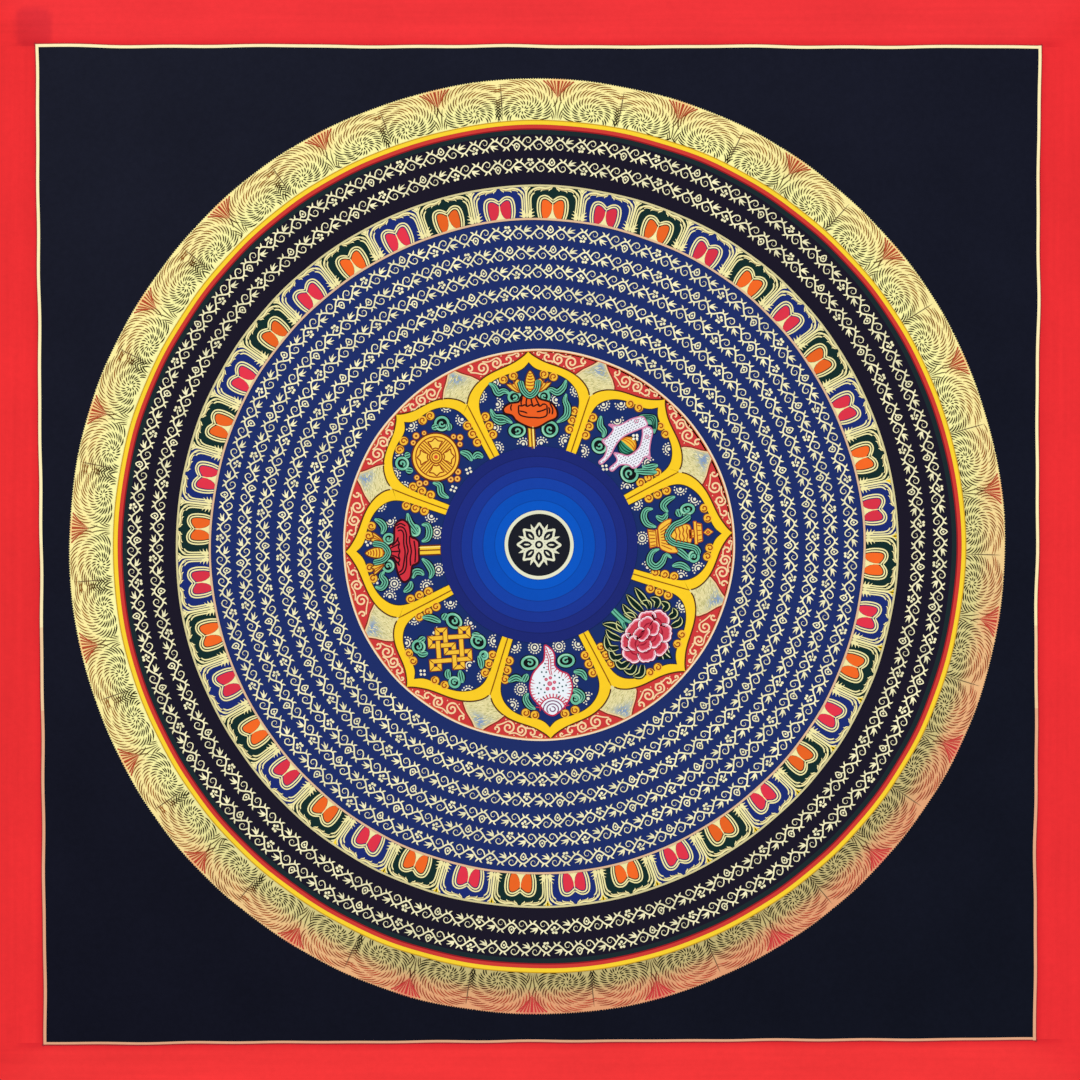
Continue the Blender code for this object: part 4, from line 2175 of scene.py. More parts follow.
    def lines(self) -> Piece:
        """Draw the frames' outlines, the scrolls, the hatching and the outer line.

        Returns:
            The finished piece.
        """
        film = PaintFilm("medallion_lines", MATT_PAINT)
        sketch = Sketch()
        for petal in self.petals:
            outer, inner = self.arch(petal, self.arch_outer), self.arch(petal, self.arch_inner)
            free = outer[np.linalg.norm(outer, axis=1) > 73.2]
            middle = petal.at([(1.0, 44.6), (1.0, 73.0)])
            dark, deep, seam = self.frame_lines
            sketch.path(free, 0.62, dark)
            sketch.path(inner, 0.62, deep, Level.SHADE)
            sketch.line(middle, 0.5, seam, Level.SCARF, smooth=False, fine=3.0)
        for gap, width, colour in self.rim_lines:
            sketch.loop((0.0, 0.0), self.outer - gap, width, colour, Level.FOLD, 240)
        film.lay(sketch, Place(HEART_CENTRE))
        self.cushion_lines(film)
        self.scroll_lines(film)
        return film.build()

    def build(self) -> list[Piece]:
        """Paint the whole medallion but for the emblems."""
        return [self.grounds(), self.frames(), self.lines()]


@dataclass
class Pearls:
    """White pearls with rings of dashes, whole, half or in small heaps."""

    colour: tuple = (240, 234, 206)
    gap_blue: tuple = (14, 26, 66)
    seed: int = 5
    bead: float = 0.72
    ring: float = 1.62
    dashes: float = 2.75
    whole: tuple = ((85.3, 48.6), (167.5, 47.2), (181.2, 46.8), (186.5, 66.7), (255.5, 68.1),
                    (257.0, 46.8), (278.0, 46.8))
    heaps: tuple = ((42.0, 68.1), (40.5, 48.1), (222.3, 78.7), (271.5, 78.2), (258.0, 76.4),
                    (304.5, 47.2), (318.0, 47.2))
    halves: tuple = (
        (-20.6, 74.1), (-14.3, 78.2), (-15.5, 68.1), (-19.5, 58.3), (-22.0, 49.1),
        (-7.5, 47.7), (2.5, 47.7), (15.0, 50.5), (14.3, 74.5), (7.5, 68.5),
        (25.2, 72.7), (30.5, 76.9), (32.5, 69.4), (25.5, 49.1), (53.5, 75.9), (53.0, 64.4),
        (56.5, 50.0), (68.0, 71.3), (73.3, 75.9), (66.5, 50.0), (97.8, 75.5), (101.7, 68.1),
        (100.5, 51.9), (112.3, 72.7), (161.5, 74.1), (163.5, 64.8), (156.8, 49.1),
        (189.0, 74.5), (192.2, 47.7), (205.3, 74.5), (202.3, 65.3), (209.5, 63.4),
        (204.0, 48.1), (220.8, 46.8), (237.0, 47.7), (230.0, 62.0), (239.5, 65.7),
        (233.5, 75.0), (251.3, 71.8), (250.5, 54.2), (286.0, 50.9), (280.0, 69.4),
        (284.8, 75.5), (297.0, 74.1), (304.0, 78.2), (294.0, 67.1), (329.5, 68.1),
        (327.3, 77.3), (314.0, 81.0),
    )

    def pearl(self, spread: float) -> Sketch:
        """Draw a pearl whose rings reach a turn to each side of the top.

        Args:
            spread: the turn to each side.

        Returns:
            The sketch.
        """
        sketch = Sketch()
        count = round(spread / 13.0)
        sketch.dots([(0.0, 0.0)], self.bead, self.colour, Level.PEARL)
        ring = arc((0.0, 0.0), self.ring, -spread, spread, 2 * count + 1)
        sketch.line(ring, 0.56, self.colour, Level.PEARL, smooth=False)
        sketch.line(0.72 * ring, 0.24, self.gap_blue, Level.PEARL, smooth=False)
        turns = np.radians(np.linspace(-spread, spread, count, endpoint=spread < 180.0))
        dashes = around(turns[:, None] + np.array([-0.12, 0.12]), self.dashes)
        sketch.strokes(dashes, 0.62, self.colour, Level.PEARL, Tip.EVEN)
        return sketch

    def heap(self) -> Sketch:
        """Draw four pearls heaped up.

        Returns:
            The sketch.
        """
        sketch = Sketch()
        sketch.dots([(0.0, 1.2), (-1.25, 0.0), (1.25, 0.0), (0.0, -1.1)], 0.62, self.colour,
                    Level.PEARL)
        return sketch

    def build(self, petals: list[Petal]) -> Piece:
        """Set the pearls in the petals.

        Args:
            petals: the medallion's petals, whose middles the halves face.

        Returns:
            The finished piece.
        """
        film = PaintFilm("medallion_pearls", MATT_PAINT)
        half, whole, heap = self.pearl(100.0), self.pearl(180.0), self.heap()
        rng = np.random.default_rng(self.seed)
        for spots, sketch in ((self.halves, half), (self.whole, whole), (self.heaps, heap)):
            for turn, reach in spots:
                spot = np.array(RING_CENTRE) + fan_out([(turn, reach)])[0]
                petal = next(p for p in petals if p.left <= turn <= p.right)
                target = np.array(HEART_CENTRE) + fan_out([(petal.tip, 62.0)])[0]
                ahead = target - spot
                facing = math.degrees(math.atan2(ahead[0], ahead[1]))
                film.lay(sketch, Place(tuple(spot), facing + rng.uniform(-8.0, 8.0)))
        return film.build()


@dataclass
class HeartDisc:
    """The middle disc: rings of blue that darken outwards round a black heart."""

    edges: tuple = (16.0, 20.4, 25.9, 31.0, 35.9, 40.7, 45.4)
    blues: tuple = ((8, 86, 196), (9, 78, 184), (22, 65, 166), (27, 53, 146), (30, 44, 127),
                    (29, 40, 114))
    heart: float = 14.35
    black: tuple = (26, 28, 38)
    gold: tuple = (230, 230, 200)

    def disc(self) -> Piece:
        """Paint the blue rings and the heart's black ground.

        Returns:
            The finished piece.
        """
        sketch = Sketch()
        for inner, outer, blue in zip(self.edges, self.edges[1:], self.blues):
            sketch.band(inner, outer, Level.FIGURE, columns=240, colour=blue)
            sketch.loop((0.0, 0.0), inner + 0.2, 0.45, 0.9 * np.array(blue), Level.DETAIL, 192)
        ground = arc((0.0, 0.0), self.heart + 0.8, 0.0, 357.0, 120)
        sketch.shape(ground, self.black, Level.FIGURE, smooth=False)
        return one_film("heart_disc", MATT_PAINT, sketch, Place(HEART_CENTRE))

    def rosette(self) -> Piece:
        """Draw the gold ring and a plain lotus rosette in it.

        Returns:
            The finished piece.
        """
        film = PaintFilm("heart_rosette", GOLD_PAINT)
        sketch = Sketch()
        sketch.loop((0.0, 0.0), self.heart + 0.8, 1.6, self.gold, Level.LIGHT, 96)
        sketch.loop((0.0, 0.0), 2.3, 0.9, self.gold, Level.LIGHT, 24)
        sketch.dots([(0.0, 0.0)], 0.9, self.gold, Level.LIGHT, 12)
        film.lay(sketch, Place(HEART_CENTRE))
        petal = Sketch()
        for side in (-1, 1):
            rim = [(0.0, 2.6), (1.9, 4.3), (2.1, 6.8), (0.9, 8.6), (0.0, 10.2)]
            petal.line(mirrored(rim, side), 1.0, self.gold, Level.LIGHT)
            behind = [(2.7, 4.9), (3.4, 7.4), (3.9, 9.4)]
            petal.line(mirrored(behind, side), 0.7, self.gold, Level.DETAIL, Tip.SPEAR)
        petal.line([(0.0, 4.2), (0.0, 7.0)], 0.8, self.gold, Level.LIGHT, Tip.LEAF)
        for number in range(8):
            film.lay(petal, Place(HEART_CENTRE, FULL_TURN * number / 8.0))
        return film.build()

    def build(self) -> list[Piece]:
        """Paint the disc and its rosette."""
        return [self.disc(), self.rosette()]


# --------------------------------------------------------- the emblems


@dataclass
class Emblem:
    """A figure in one petal, drawn upright; y is the way from the rings' centre."""

    name: str
    axis: float
    scarves: tuple = ()
    curls: tuple = ()
    scarf_width: float = 2.9
    sketch: Sketch = field(default_factory=Sketch)

    def filled(self, outline: Line, colour: Colour, rim: Colour, width: float = 0.45,
               smooth: bool = True, level: Level = Level.FIGURE) -> None:
        """Fill an outline and draw its rim.

        Args:
            outline: points round the shape.
            colour: its colour.
            rim: the colour of its rim.
            width: width of the rim.
            smooth: whether the outline curves.
            level: the fill's coat; the rim is one coat higher.
        """
        self.sketch.shape(outline, colour, level, smooth, fine=0.7)
        self.sketch.line(outline, width, rim, Level(level + 1), smooth=smooth, closed=True,
                         fine=0.7)

    def lines(self, paths: Iterable[Line], width: float, colour: Colour,
              level: Level = Level.DETAIL, tip: Tip = Tip.ROUND, smooth: bool = True) -> None:
        """Draw several lines alike."""
        for path in paths:
            self.sketch.line(path, width, colour, level, tip, smooth, fine=0.7)

    def scarf(self, path: Line) -> None:
        """Paint a teal ribbon with dark folds along a path.

        Args:
            path: the points that it passes.
        """
        width, middle = self.scarf_width, evenly(smooth_line(path), 25)
        self.sketch.path(middle, width + 1.2, Pigment.BLACK, Level.LINE, Tip.BLUNT)
        self.sketch.path(middle, width, Pigment.TEAL, Level.SCARF, Tip.BLUNT)
        for gap in (-0.19 * width, 0.19 * width):
            self.sketch.path(beside(middle, gap)[2:23], 0.5, Pigment.FOLD_TEAL, Level.FOLD,
                             Tip.BLUNT)

    def knotted(self, path: Line, count: int, width: float) -> None:
        """Paint the teal ribbon that is tied round the figure.

        Args:
            path: the points that it passes.
            count: how many points are laid along it.
            width: width of the dark edge under it.
        """
        middle = evenly(smooth_line(path), count)
        self.sketch.path(middle, width, Pigment.BLACK, Level.DETAIL, Tip.ROUND)
        self.sketch.path(middle, 2.5, Pigment.TEAL, Level.LIGHT, Tip.ROUND)
        for gap in (0.45, -0.45):
            self.sketch.path(beside(middle, gap), 0.46, Pigment.FOLD_TEAL, Level.GLAZE,
                             Tip.ROUND)

    def curl(self, centre: Spot, radii: Spot, wind: int) -> None:
        """Wind a teal ribbon up into a curl.

        Args:
            centre: its middle.
            radii: its radii across and upwards.
            wind: 1 to wind clockwise from the outside in, -1 for the other way.
        """
        rim = arc(centre, (radii[0] + 0.45, radii[1] + 0.45), 0.0, 345.0, 24)
        self.sketch.shape(rim, Pigment.BLACK, Level.LINE, smooth=False)
        ring = (0.84 * radii[0], 0.84 * radii[1])
        self.sketch.loop(centre, ring, 1.1, Pigment.TEAL, Level.SCARF, 24)
        for size, turns, thick, colour, level in (
                (0.44, 0.95, 0.85, Pigment.TEAL, Level.SCARF),
                (0.88, 0.42, 0.36, Pigment.PALE_TEAL, Level.FOLD)):
            inner = 0.24 if level is Level.SCARF else 0.98
            wound = spiral((0.0, 0.0), size, 150.0 * wind, turns * wind, 25, inner) * radii
            self.sketch.line(wound + centre, thick, colour, level, smooth=False, fine=0.6)

    def figure(self) -> None:
        """Draw the figure itself."""
        raise NotImplementedError

    def build(self) -> Piece:
        """Paint the ribbons and then the figure over them.

        Returns:
            The finished piece.
        """
        for path in self.scarves:
            self.scarf(path)
        for centre, radii, wind in self.curls:
            self.curl(centre, radii, wind)
        self.figure()
        return one_film(self.name, MATT_PAINT, self.sketch, Place(RING_CENTRE, self.axis))


@dataclass
class Canopy(Emblem):
    """A cloth canopy on a pole, under a gold finial between two gold leaves."""

    cloth: tuple = (235, 96, 36)
    cloth_rim: tuple = (40, 18, 20)
    gold: tuple = (250, 196, 60)
    leaf_gold: tuple = (246, 190, 64)
    pole_gold: tuple = (250, 204, 60)
    shine: tuple = (255, 236, 150)
    browns: tuple = ((180, 80, 24), (170, 80, 26), (140, 70, 24))
    outline: tuple = ()
    folds: tuple = ()
    fold_width: float = 0.7
    finial: tuple = (0.7, 72.0, 81.3, 2.4)
    leaf: tuple = ((4.4, 71.5), (7.6, 72.6), (10.4, 75.6), (7.4, 75.4), (5.4, 77.6),
                   (4.0, 76.2))
    collar: tuple = ((-3.9, 76.7), (-2.7, 72.4), (0.3, 69.8), (3.4, 72.4), (4.3, 76.9))
    pole: tuple = (-1.4, 1.7, 45.0, 55.5)

    def gold_top(self) -> None:
        """Paint the finial, its bands and the leaves beside it."""
        middle, low, high, half = self.finial
        tall = high - low
        side = [(1.0, 0.0), (1.0, 0.30), (0.92, 0.55), (0.62, 0.80), (0.25, 0.96)]
        right = [(middle + half * x, low + tall * y) for x, y in side]
        left = [(middle - half * x, low + tall * y) for x, y in side[::-1]]
        self.filled([*right, (middle, high), *left], self.gold, Pigment.FIGURE_BROWN, 0.55)
        for share in (0.12, 0.30, 0.45, 0.60, 0.74, 0.87):
            reach = half * min(1.0, 1.45 - 1.25 * share) * 0.9
            y = low + tall * share
            self.lines([[(middle - reach, y), (middle, y - 0.45), (middle + reach, y)]],
                       0.52, self.browns[0], Level.LIGHT)
        for side_sign in (-1, 1):
            leaf = mirrored(self.leaf, side_sign)
            self.filled(leaf, self.leaf_gold, Pigment.FIGURE_BROWN, 0.55)
            for share in (0.35, 0.7):
                tip = leaf[2] * share + leaf[4] * (1.0 - share)
                bend = 0.5 * (leaf[0] + tip) + (0.0, -0.3)
                self.lines([[leaf[0], bend, tip]], 0.46, self.browns[1], Level.LIGHT)

    def figure(self) -> None:
        """Paint the pole, the cloth and its folds, and the gold top."""
        left, right, low, high = self.pole
        post = [(left, low), (right, low), (right, high), (left, high)]
        self.filled(post, self.pole_gold, Pigment.FIGURE_BROWN, 0.6, False, Level.FOLD)
        middle = 0.5 * (left + right)
        self.lines([[(middle, low), (middle, high)]], 0.6, self.browns[2])
        self.lines([[(right - 0.7, low), (right - 0.7, high)]], 0.4, self.shine)
        self.filled(self.outline, self.cloth, self.cloth_rim, 0.95)
        self.lines(self.folds, self.fold_width, self.cloth_rim)
        self.gold_top()
        self.knotted(self.collar, 25, 3.5)


def parasol() -> Canopy:
    """Give the orange parasol of the top petal.

    Returns:
        The emblem.
    """
    return Canopy(
        "emblem_parasol", -2.8,
        scarves=(
            ((-18.4, 76.4), (-16.2, 74.8), (-14.4, 71.6), (-11.6, 72.4), (-9.0, 71.0)),
            ((17.4, 76.4), (16.0, 73.0), (13.0, 70.8), (10.0, 72.2), (8.0, 71.0)),
            ((17.2, 70.0), (16.4, 67.0), (17.4, 63.4), (16.4, 59.4), (12.0, 56.8)),
            ((-18.2, 64.4), (-16.6, 60.8), (-12.6, 60.0), (-8.4, 57.6)),
            ((-17.9, 61.0), (-14.5, 58.6), (-10.4, 58.8)),
        ),
        curls=(((-6.8, 69.4), (3.2, 2.9), -1), ((6.7, 69.2), (2.8, 2.9), 1),
               ((-6.4, 53.9), (4.2, 3.3), -1), ((8.7, 53.8), (3.9, 3.9), 1)),
        outline=((-3.3, 69.8), (-5.0, 67.2), (-9.1, 66.6), (-12.1, 64.6), (-11.8, 62.2),
                 (-8.4, 61.0), (-6.6, 58.6), (-3.0, 56.3), (0.9, 54.7), (4.2, 55.3),
                 (8.1, 57.4), (11.8, 58.9), (12.5, 61.7), (10.9, 65.2), (8.5, 66.9),
                 (4.6, 68.2), (2.6, 70.2)),
        folds=(
            ((-5.1, 65.6), (-5.0, 61.6), (-1.9, 60.1), (2.0, 59.6), (5.0, 59.4),
             (7.6, 60.6), (7.8, 65.2)),
            ((-5.0, 65.5), (-3.6, 65.2), (-2.2, 65.7), (-1.2, 64.9), (0.6, 65.6),
             (1.6, 64.8), (3.4, 65.6), (4.6, 64.7), (6.2, 65.7), (7.7, 65.2)),
            ((-3.2, 69.2), (-3.9, 67.0), (-3.8, 65.5)), ((-1.2, 68.9), (-1.6, 66.6),
                                                         (-1.3, 65.1)),
            ((0.7, 69.0), (0.9, 66.8), (1.5, 65.0)), ((2.7, 69.0), (3.6, 66.8), (4.5, 64.9)),
            ((-4.9, 63.0), (-2.6, 62.4), (-1.2, 61.7)), ((7.5, 63.4), (5.4, 62.6),
                                                         (3.0, 62.2)),
            ((-8.2, 66.2), (-8.8, 64.6), (-8.5, 63.2)), ((9.2, 66.0), (10.4, 63.0),
                                                         (10.0, 60.6)),
            ((8.6, 64.2), (9.0, 62.4), (8.6, 61.0)),
        ))


def banner() -> Canopy:
    """Give the crimson banner of the left petal.

    Returns:
        The emblem.
    """
    return Canopy(
        "emblem_banner", 267.6, cloth=(212, 52, 64), cloth_rim=(52, 14, 24),
        scarves=(
            ((-15.4, 75.6), (-16.0, 72.6), (-13.4, 70.8), (-10.6, 72.4), (-8.4, 71.0)),
            ((16.0, 74.8), (14.4, 72.0), (11.8, 70.6), (9.0, 71.8)),
            ((-18.2, 62.4), (-16.2, 59.6), (-13.4, 58.9)),
            ((-12.1, 58.1), (-9.3, 57.0), (-9.3, 54.6), (-10.9, 53.0)),
            ((-12.6, 50.4), (-9.6, 49.2), (-6.0, 50.8), (-3.2, 53.6)),
            ((18.2, 59.4), (14.0, 58.7), (11.0, 56.8), (8.0, 54.9)),
            ((4.6, 53.4), (5.8, 50.6), (9.0, 49.6), (12.0, 50.4), (12.3, 53.0)),
        ),
        curls=(((-6.0, 69.2), (3.0, 2.8), -1), ((6.6, 68.6), (2.6, 2.6), 1),
               ((9.9, 56.2), (2.8, 2.5), 1)),
        outline=((-1.8, 68.4), (-2.8, 66.3), (-8.2, 65.2), (-12.4, 63.6), (-13.6, 61.6),
                 (-11.6, 59.2), (-6.6, 58.2), (-5.6, 56.4), (-4.2, 55.0), (0.0, 54.9),
                 (4.2, 54.7), (6.0, 56.2), (7.2, 58.2), (12.6, 59.0), (15.1, 61.6),
                 (14.2, 64.4), (11.6, 65.8), (5.2, 66.3), (3.6, 68.2), (1.0, 69.4)),
        folds=(
            ((-10.4, 64.2), (-9.2, 62.0), (-6.4, 60.9), (-2.0, 60.6), (0.6, 59.9),
             (4.4, 60.5), (8.4, 60.4), (11.2, 61.4), (12.0, 63.4), (11.2, 64.8)),
            ((-9.2, 64.4), (-7.8, 62.7), (-4.4, 61.9), (0.0, 61.3), (4.2, 61.8),
             (8.6, 61.7), (10.4, 62.8), (10.0, 64.4)),
            ((12.4, 65.0), (13.5, 62.9), (12.2, 60.6)),
            ((-6.4, 58.9), (-3.0, 59.0), (0.5, 58.4), (4.6, 59.0), (7.6, 58.9)),
            ((-5.0, 56.9), (0.0, 56.5), (5.2, 57.0)),
            ((-2.4, 67.6), (-4.0, 65.4), (-6.2, 64.0)), ((-0.9, 67.9), (-1.9, 65.6),
                                                         (-3.3, 63.8)),
            ((0.6, 68.1), (0.5, 65.8), (0.6, 63.7)), ((2.2, 67.9), (3.2, 65.6), (4.0, 63.8)),
            ((3.2, 67.2), (5.2, 65.2), (7.2, 64.2)),
            ((-6.2, 64.0), (-4.8, 64.4), (-3.3, 63.8), (-1.4, 64.3), (0.6, 63.7),
             (2.4, 64.3), (4.0, 63.8), (5.8, 64.5), (7.2, 64.2)),
        ),
        finial=(0.3, 70.6, 79.6, 2.5),
        leaf=((5.3, 71.2), (7.6, 72.6), (10.0, 75.8), (7.6, 75.6), (6.4, 77.0), (5.2, 74.6)),
        collar=((-4.2, 76.0), (-3.2, 71.4), (0.1, 69.0), (3.7, 71.4), (4.7, 76.0)),
        pole=(-1.6, 2.6, 44.6, 55.0))


@dataclass
class FishPair(Emblem):
    """Two white fish, nose to nose, with a striped jewel between them."""

    skin: tuple = (240, 240, 248)
    rim: tuple = (214, 132, 168)
    scale_blue: tuple = (34, 38, 70)
    eye_pink: tuple = (206, 96, 140)
    cap_teal: tuple = (96, 172, 142)
    cap_fold: tuple = (10, 58, 50)
    fish: tuple = (
        ((-4.1, 77.4), (-1.6, 77.2), (0.3, 75.9), (-1.3, 72.0), (-3.6, 67.0), (-4.5, 63.0),
         (-4.1, 58.7), (-3.0, 54.2), (-3.4, 48.6), (-5.0, 48.4), (-4.8, 52.0), (-6.6, 55.9),
         (-10.4, 56.9), (-9.5, 59.4), (-9.9, 64.2), (-13.0, 64.5), (-9.2, 67.4),
         (-7.1, 73.1)),
        ((1.7, 76.0), (4.2, 75.4), (6.4, 71.6), (8.7, 68.2), (11.8, 64.9), (9.4, 64.6),
         (9.9, 59.8), (9.0, 56.9), (6.2, 56.4), (3.3, 53.7), (2.6, 49.4), (0.8, 49.5),
         (1.2, 53.7), (0.2, 55.2), (-2.4, 56.2), (0.0, 57.8), (3.1, 59.4), (4.4, 62.4),
         (4.4, 66.4), (2.0, 70.9), (0.0, 73.6)),
    )
    eyes: tuple = ((-4.7, 74.2), (3.9, 71.9))
    jewel: tuple = (-0.1, 62.9, 4.1, 4.6)

    @staticmethod
    def inside(outline: Array, spots: Array, gap: float) -> Array:
        """Tell which spots lie in an outline and at least a gap from its rim.

        Args:
            outline: points round the shape.
            spots: what is asked about.
            gap: the least distance from the outline's points.

        Returns:
            True or false for each spot.
        """
        start, end = outline, np.roll(outline, -1, axis=0)
        x, y = spots[:, :1], spots[:, 1:]
        crosses = (start[:, 1] > y) != (end[:, 1] > y)
        rise = np.where(np.abs(end[:, 1] - start[:, 1]) < 1e-9, 1e-9, end[:, 1] - start[:, 1])
        at = start[:, 0] + (y - start[:, 1]) * (end[:, 0] - start[:, 0]) / rise
        within = ((crosses & (x < at)).sum(1) % 2).astype(bool)
        nearest = np.linalg.norm(spots[:, None] - outline[None], axis=2).min(1)
        return within & (nearest > gap)

    def scales(self, outline: Array) -> None:
        """Set rows of short dark marks on a fish.

        Args:
            outline: points round the fish.
        """
        x, y = np.meshgrid(np.arange(-13.5, 12.5, 1.15), np.arange(48.5, 78.0, 1.35))
        x = x + 0.55 * (np.arange(len(y)) % 2)[:, None]
        spots = np.stack([x.ravel(), y.ravel()], 1)
        rim = evenly(smooth_line(outline, closed=True), 200)
        spots = spots[self.inside(rim, spots, 0.5)]
        marks = np.stack([spots - (0.05, 0.36), spots + (0.05, 0.36)], 1)
        self.sketch.strokes(marks, 0.56, self.scale_blue, Level.LIGHT)

    def figure(self) -> None:
        """Paint the jewel, the cap of cloth over the noses, and the fish."""
        x, y, wide, tall = self.jewel
        for low, high, colour, line in ((90.0, 270.0, (60, 150, 118), (12, 60, 48)),
                                        (-90.0, 90.0, (246, 196, 56), (206, 110, 30))):
            self.sketch.shape(arc((x, y), (wide, tall), low, high, 17), colour, Level.SCARF,
                              smooth=False)
            for size in (0.3, 0.58, 0.84):
                stripe = arc((x, y), (wide * 0.98, tall * size), low, high, 13)
                self.sketch.line(stripe, 0.5, line, Level.FOLD, smooth=False)
        self.sketch.loop((x, y), (wide, tall), 0.55, Pigment.BLACK, Level.FOLD, 24)
        self.sketch.dots([(-0.1, 69.4), (-1.2, 68.2), (1.0, 68.2), (-0.1, 67.1)], 0.62,
                         Pigment.PEARL, Level.DETAIL)
        cap = ((-5.6, 76.2), (-4.6, 78.6), (0.2, 82.0), (4.0, 79.4), (5.8, 75.4), (4.2, 75.2),
               (2.2, 77.4), (0.2, 76.4), (-1.8, 77.6), (-3.6, 76.6))
        self.filled(cap, self.cap_teal, Pigment.BLACK, 0.45, level=Level.SCARF)
        for drop in (0.9, 1.9, 2.9):
            self.lines([[(-4.6 + 0.5 * drop, 78.2 - 0.4 * drop), (0.2, 82.0 - drop),
                         (4.9 - 0.4 * drop, 77.4 - 0.3 * drop)]], 0.5, self.cap_fold,
                       Level.FIGURE)
        for outline, eye in zip(self.fish, self.eyes):
            self.filled(outline, self.skin, self.rim, 0.62)
            self.scales(np.array(outline))
            self.sketch.dots([eye], 0.95, self.skin, Level.LIGHT)
            self.sketch.loop(eye, 0.85, 0.36, self.eye_pink, Level.GLAZE, 12)
            self.sketch.dots([eye], 0.3, Pigment.BLACK, Level.GLAZE, 6)
        for fin in (((-12.6, 64.6), (-10.2, 65.2)), ((-12.0, 64.9), (-10.0, 66.0)),
                    ((-10.2, 57.1), (-8.6, 57.4)), ((11.4, 65.1), (9.6, 65.6)),
                    ((10.6, 65.8), (9.2, 66.6)), ((8.8, 57.1), (8.2, 58.4)),
                    ((-2.2, 56.3), (-0.4, 56.6))):
            self.lines([fin], 0.3, self.rim, Level.GLAZE)


@dataclass
class Vase(Emblem):
    """A gold vase with a lid, a wavy body and a fluted bowl, tied with a ribbon."""

    gold: tuple = (250, 194, 66)
    line: tuple = (172, 74, 28)
    gem: tuple = (236, 120, 60)

    def fluted(self, corners: Line, count: int) -> None:
        """Paint a four-cornered gold part with upright flutes.

        Args:
            corners: lower left, lower right, upper right and upper left corners.
            count: how many flutes.
        """
        self.filled(corners, self.gold, self.line, 0.5, smooth=False)
        low_left, low_right, high_right, high_left = np.array(corners, float)
        for share in (np.arange(count) + 0.5) / count:
            low = low_left * (1.0 - share) + low_right * share
            high = high_left * (1.0 - share) + high_right * share
            ends = [low * 0.9 + high * 0.1, low * 0.12 + high * 0.88]
            self.lines([ends], 0.42, self.line, Level.LIGHT, smooth=False)

    def figure(self) -> None:
        """Paint the vase from its foot to its finial, and the ribbon's bow."""
        self.fluted(((-3.9, 51.5), (4.8, 51.9), (4.2, 55.2), (-3.0, 55.2)), 5)
        bowl = ((-3.6, 56.2), (4.4, 56.4), (6.9, 59.2), (7.8, 62.2), (7.4, 64.8), (3.6, 62.8),
                (-3.6, 61.8), (-7.6, 62.8), (-6.8, 59.2))
        self.filled(bowl, self.gold, self.line, 0.45)
        for share in np.linspace(0.06, 0.94, 7):
            low = np.array((-3.5 + 7.8 * share, 57.3))
            high = np.array((-6.9 + 14.0 * share, 61.0 + 1.5 * (2.0 * share - 1.0) ** 2))
            self.lines([[low, high]], 0.42, self.line, Level.LIGHT, smooth=False)
        self.filled(((-3.5, 55.2), (4.6, 55.4), (4.6, 56.5), (-3.5, 56.3)), self.gold,
                    self.line, 0.4, smooth=False)
        self.filled(((-4.4, 70.8), (-4.3, 66.0), (-2.4, 62.8), (0.0, 62.0), (2.4, 62.8),
                     (3.8, 66.0), (3.9, 70.8), (0.0, 71.6)), self.gold, self.line, 0.45)
        for y in (69.6, 67.9, 66.2, 64.5):
            half = 3.9 if y > 65.0 else 1.4 * (y - 61.6)
            wave = [(x * half / 4.0 - 0.2, y + 0.28 * math.sin(1.7 * x + y))
                    for x in np.linspace(-4.0, 4.0, 9)]
            self.lines([wave], 0.52, self.line, Level.LIGHT)
        self.fluted(((-2.1, 70.6), (1.9, 70.6), (1.5, 72.9), (-1.9, 72.9)), 2)
        self.fluted(((-5.0, 74.2), (4.2, 74.2), (3.6, 76.5), (-4.4, 76.5)), 4)
        self.filled(((-5.8, 72.8), (4.8, 72.8), (4.8, 74.2), (-5.8, 74.2)), self.gold,
                    self.line, 0.42, smooth=False)
        for size, colour, level in ((1.0, self.gold, Level.FIGURE),
                                    (0.42, self.gem, Level.LIGHT)):
            gem = [(-0.3, 79.2 + 2.4 * size), (1.6 * size - 0.3, 79.2),
                   (-0.3, 79.2 - 2.2 * size), (-0.3 - 1.9 * size, 79.2)]
            self.filled(gem, colour, self.line, 0.4, smooth=False, level=level)
        self.knotted(((-8.4, 71.6), (-6.2, 68.0), (-4.6, 63.8), (-0.4, 60.6), (2.9, 62.6),
                      (4.8, 68.1), (6.6, 73.1), (9.6, 74.4)), 33, 3.6)


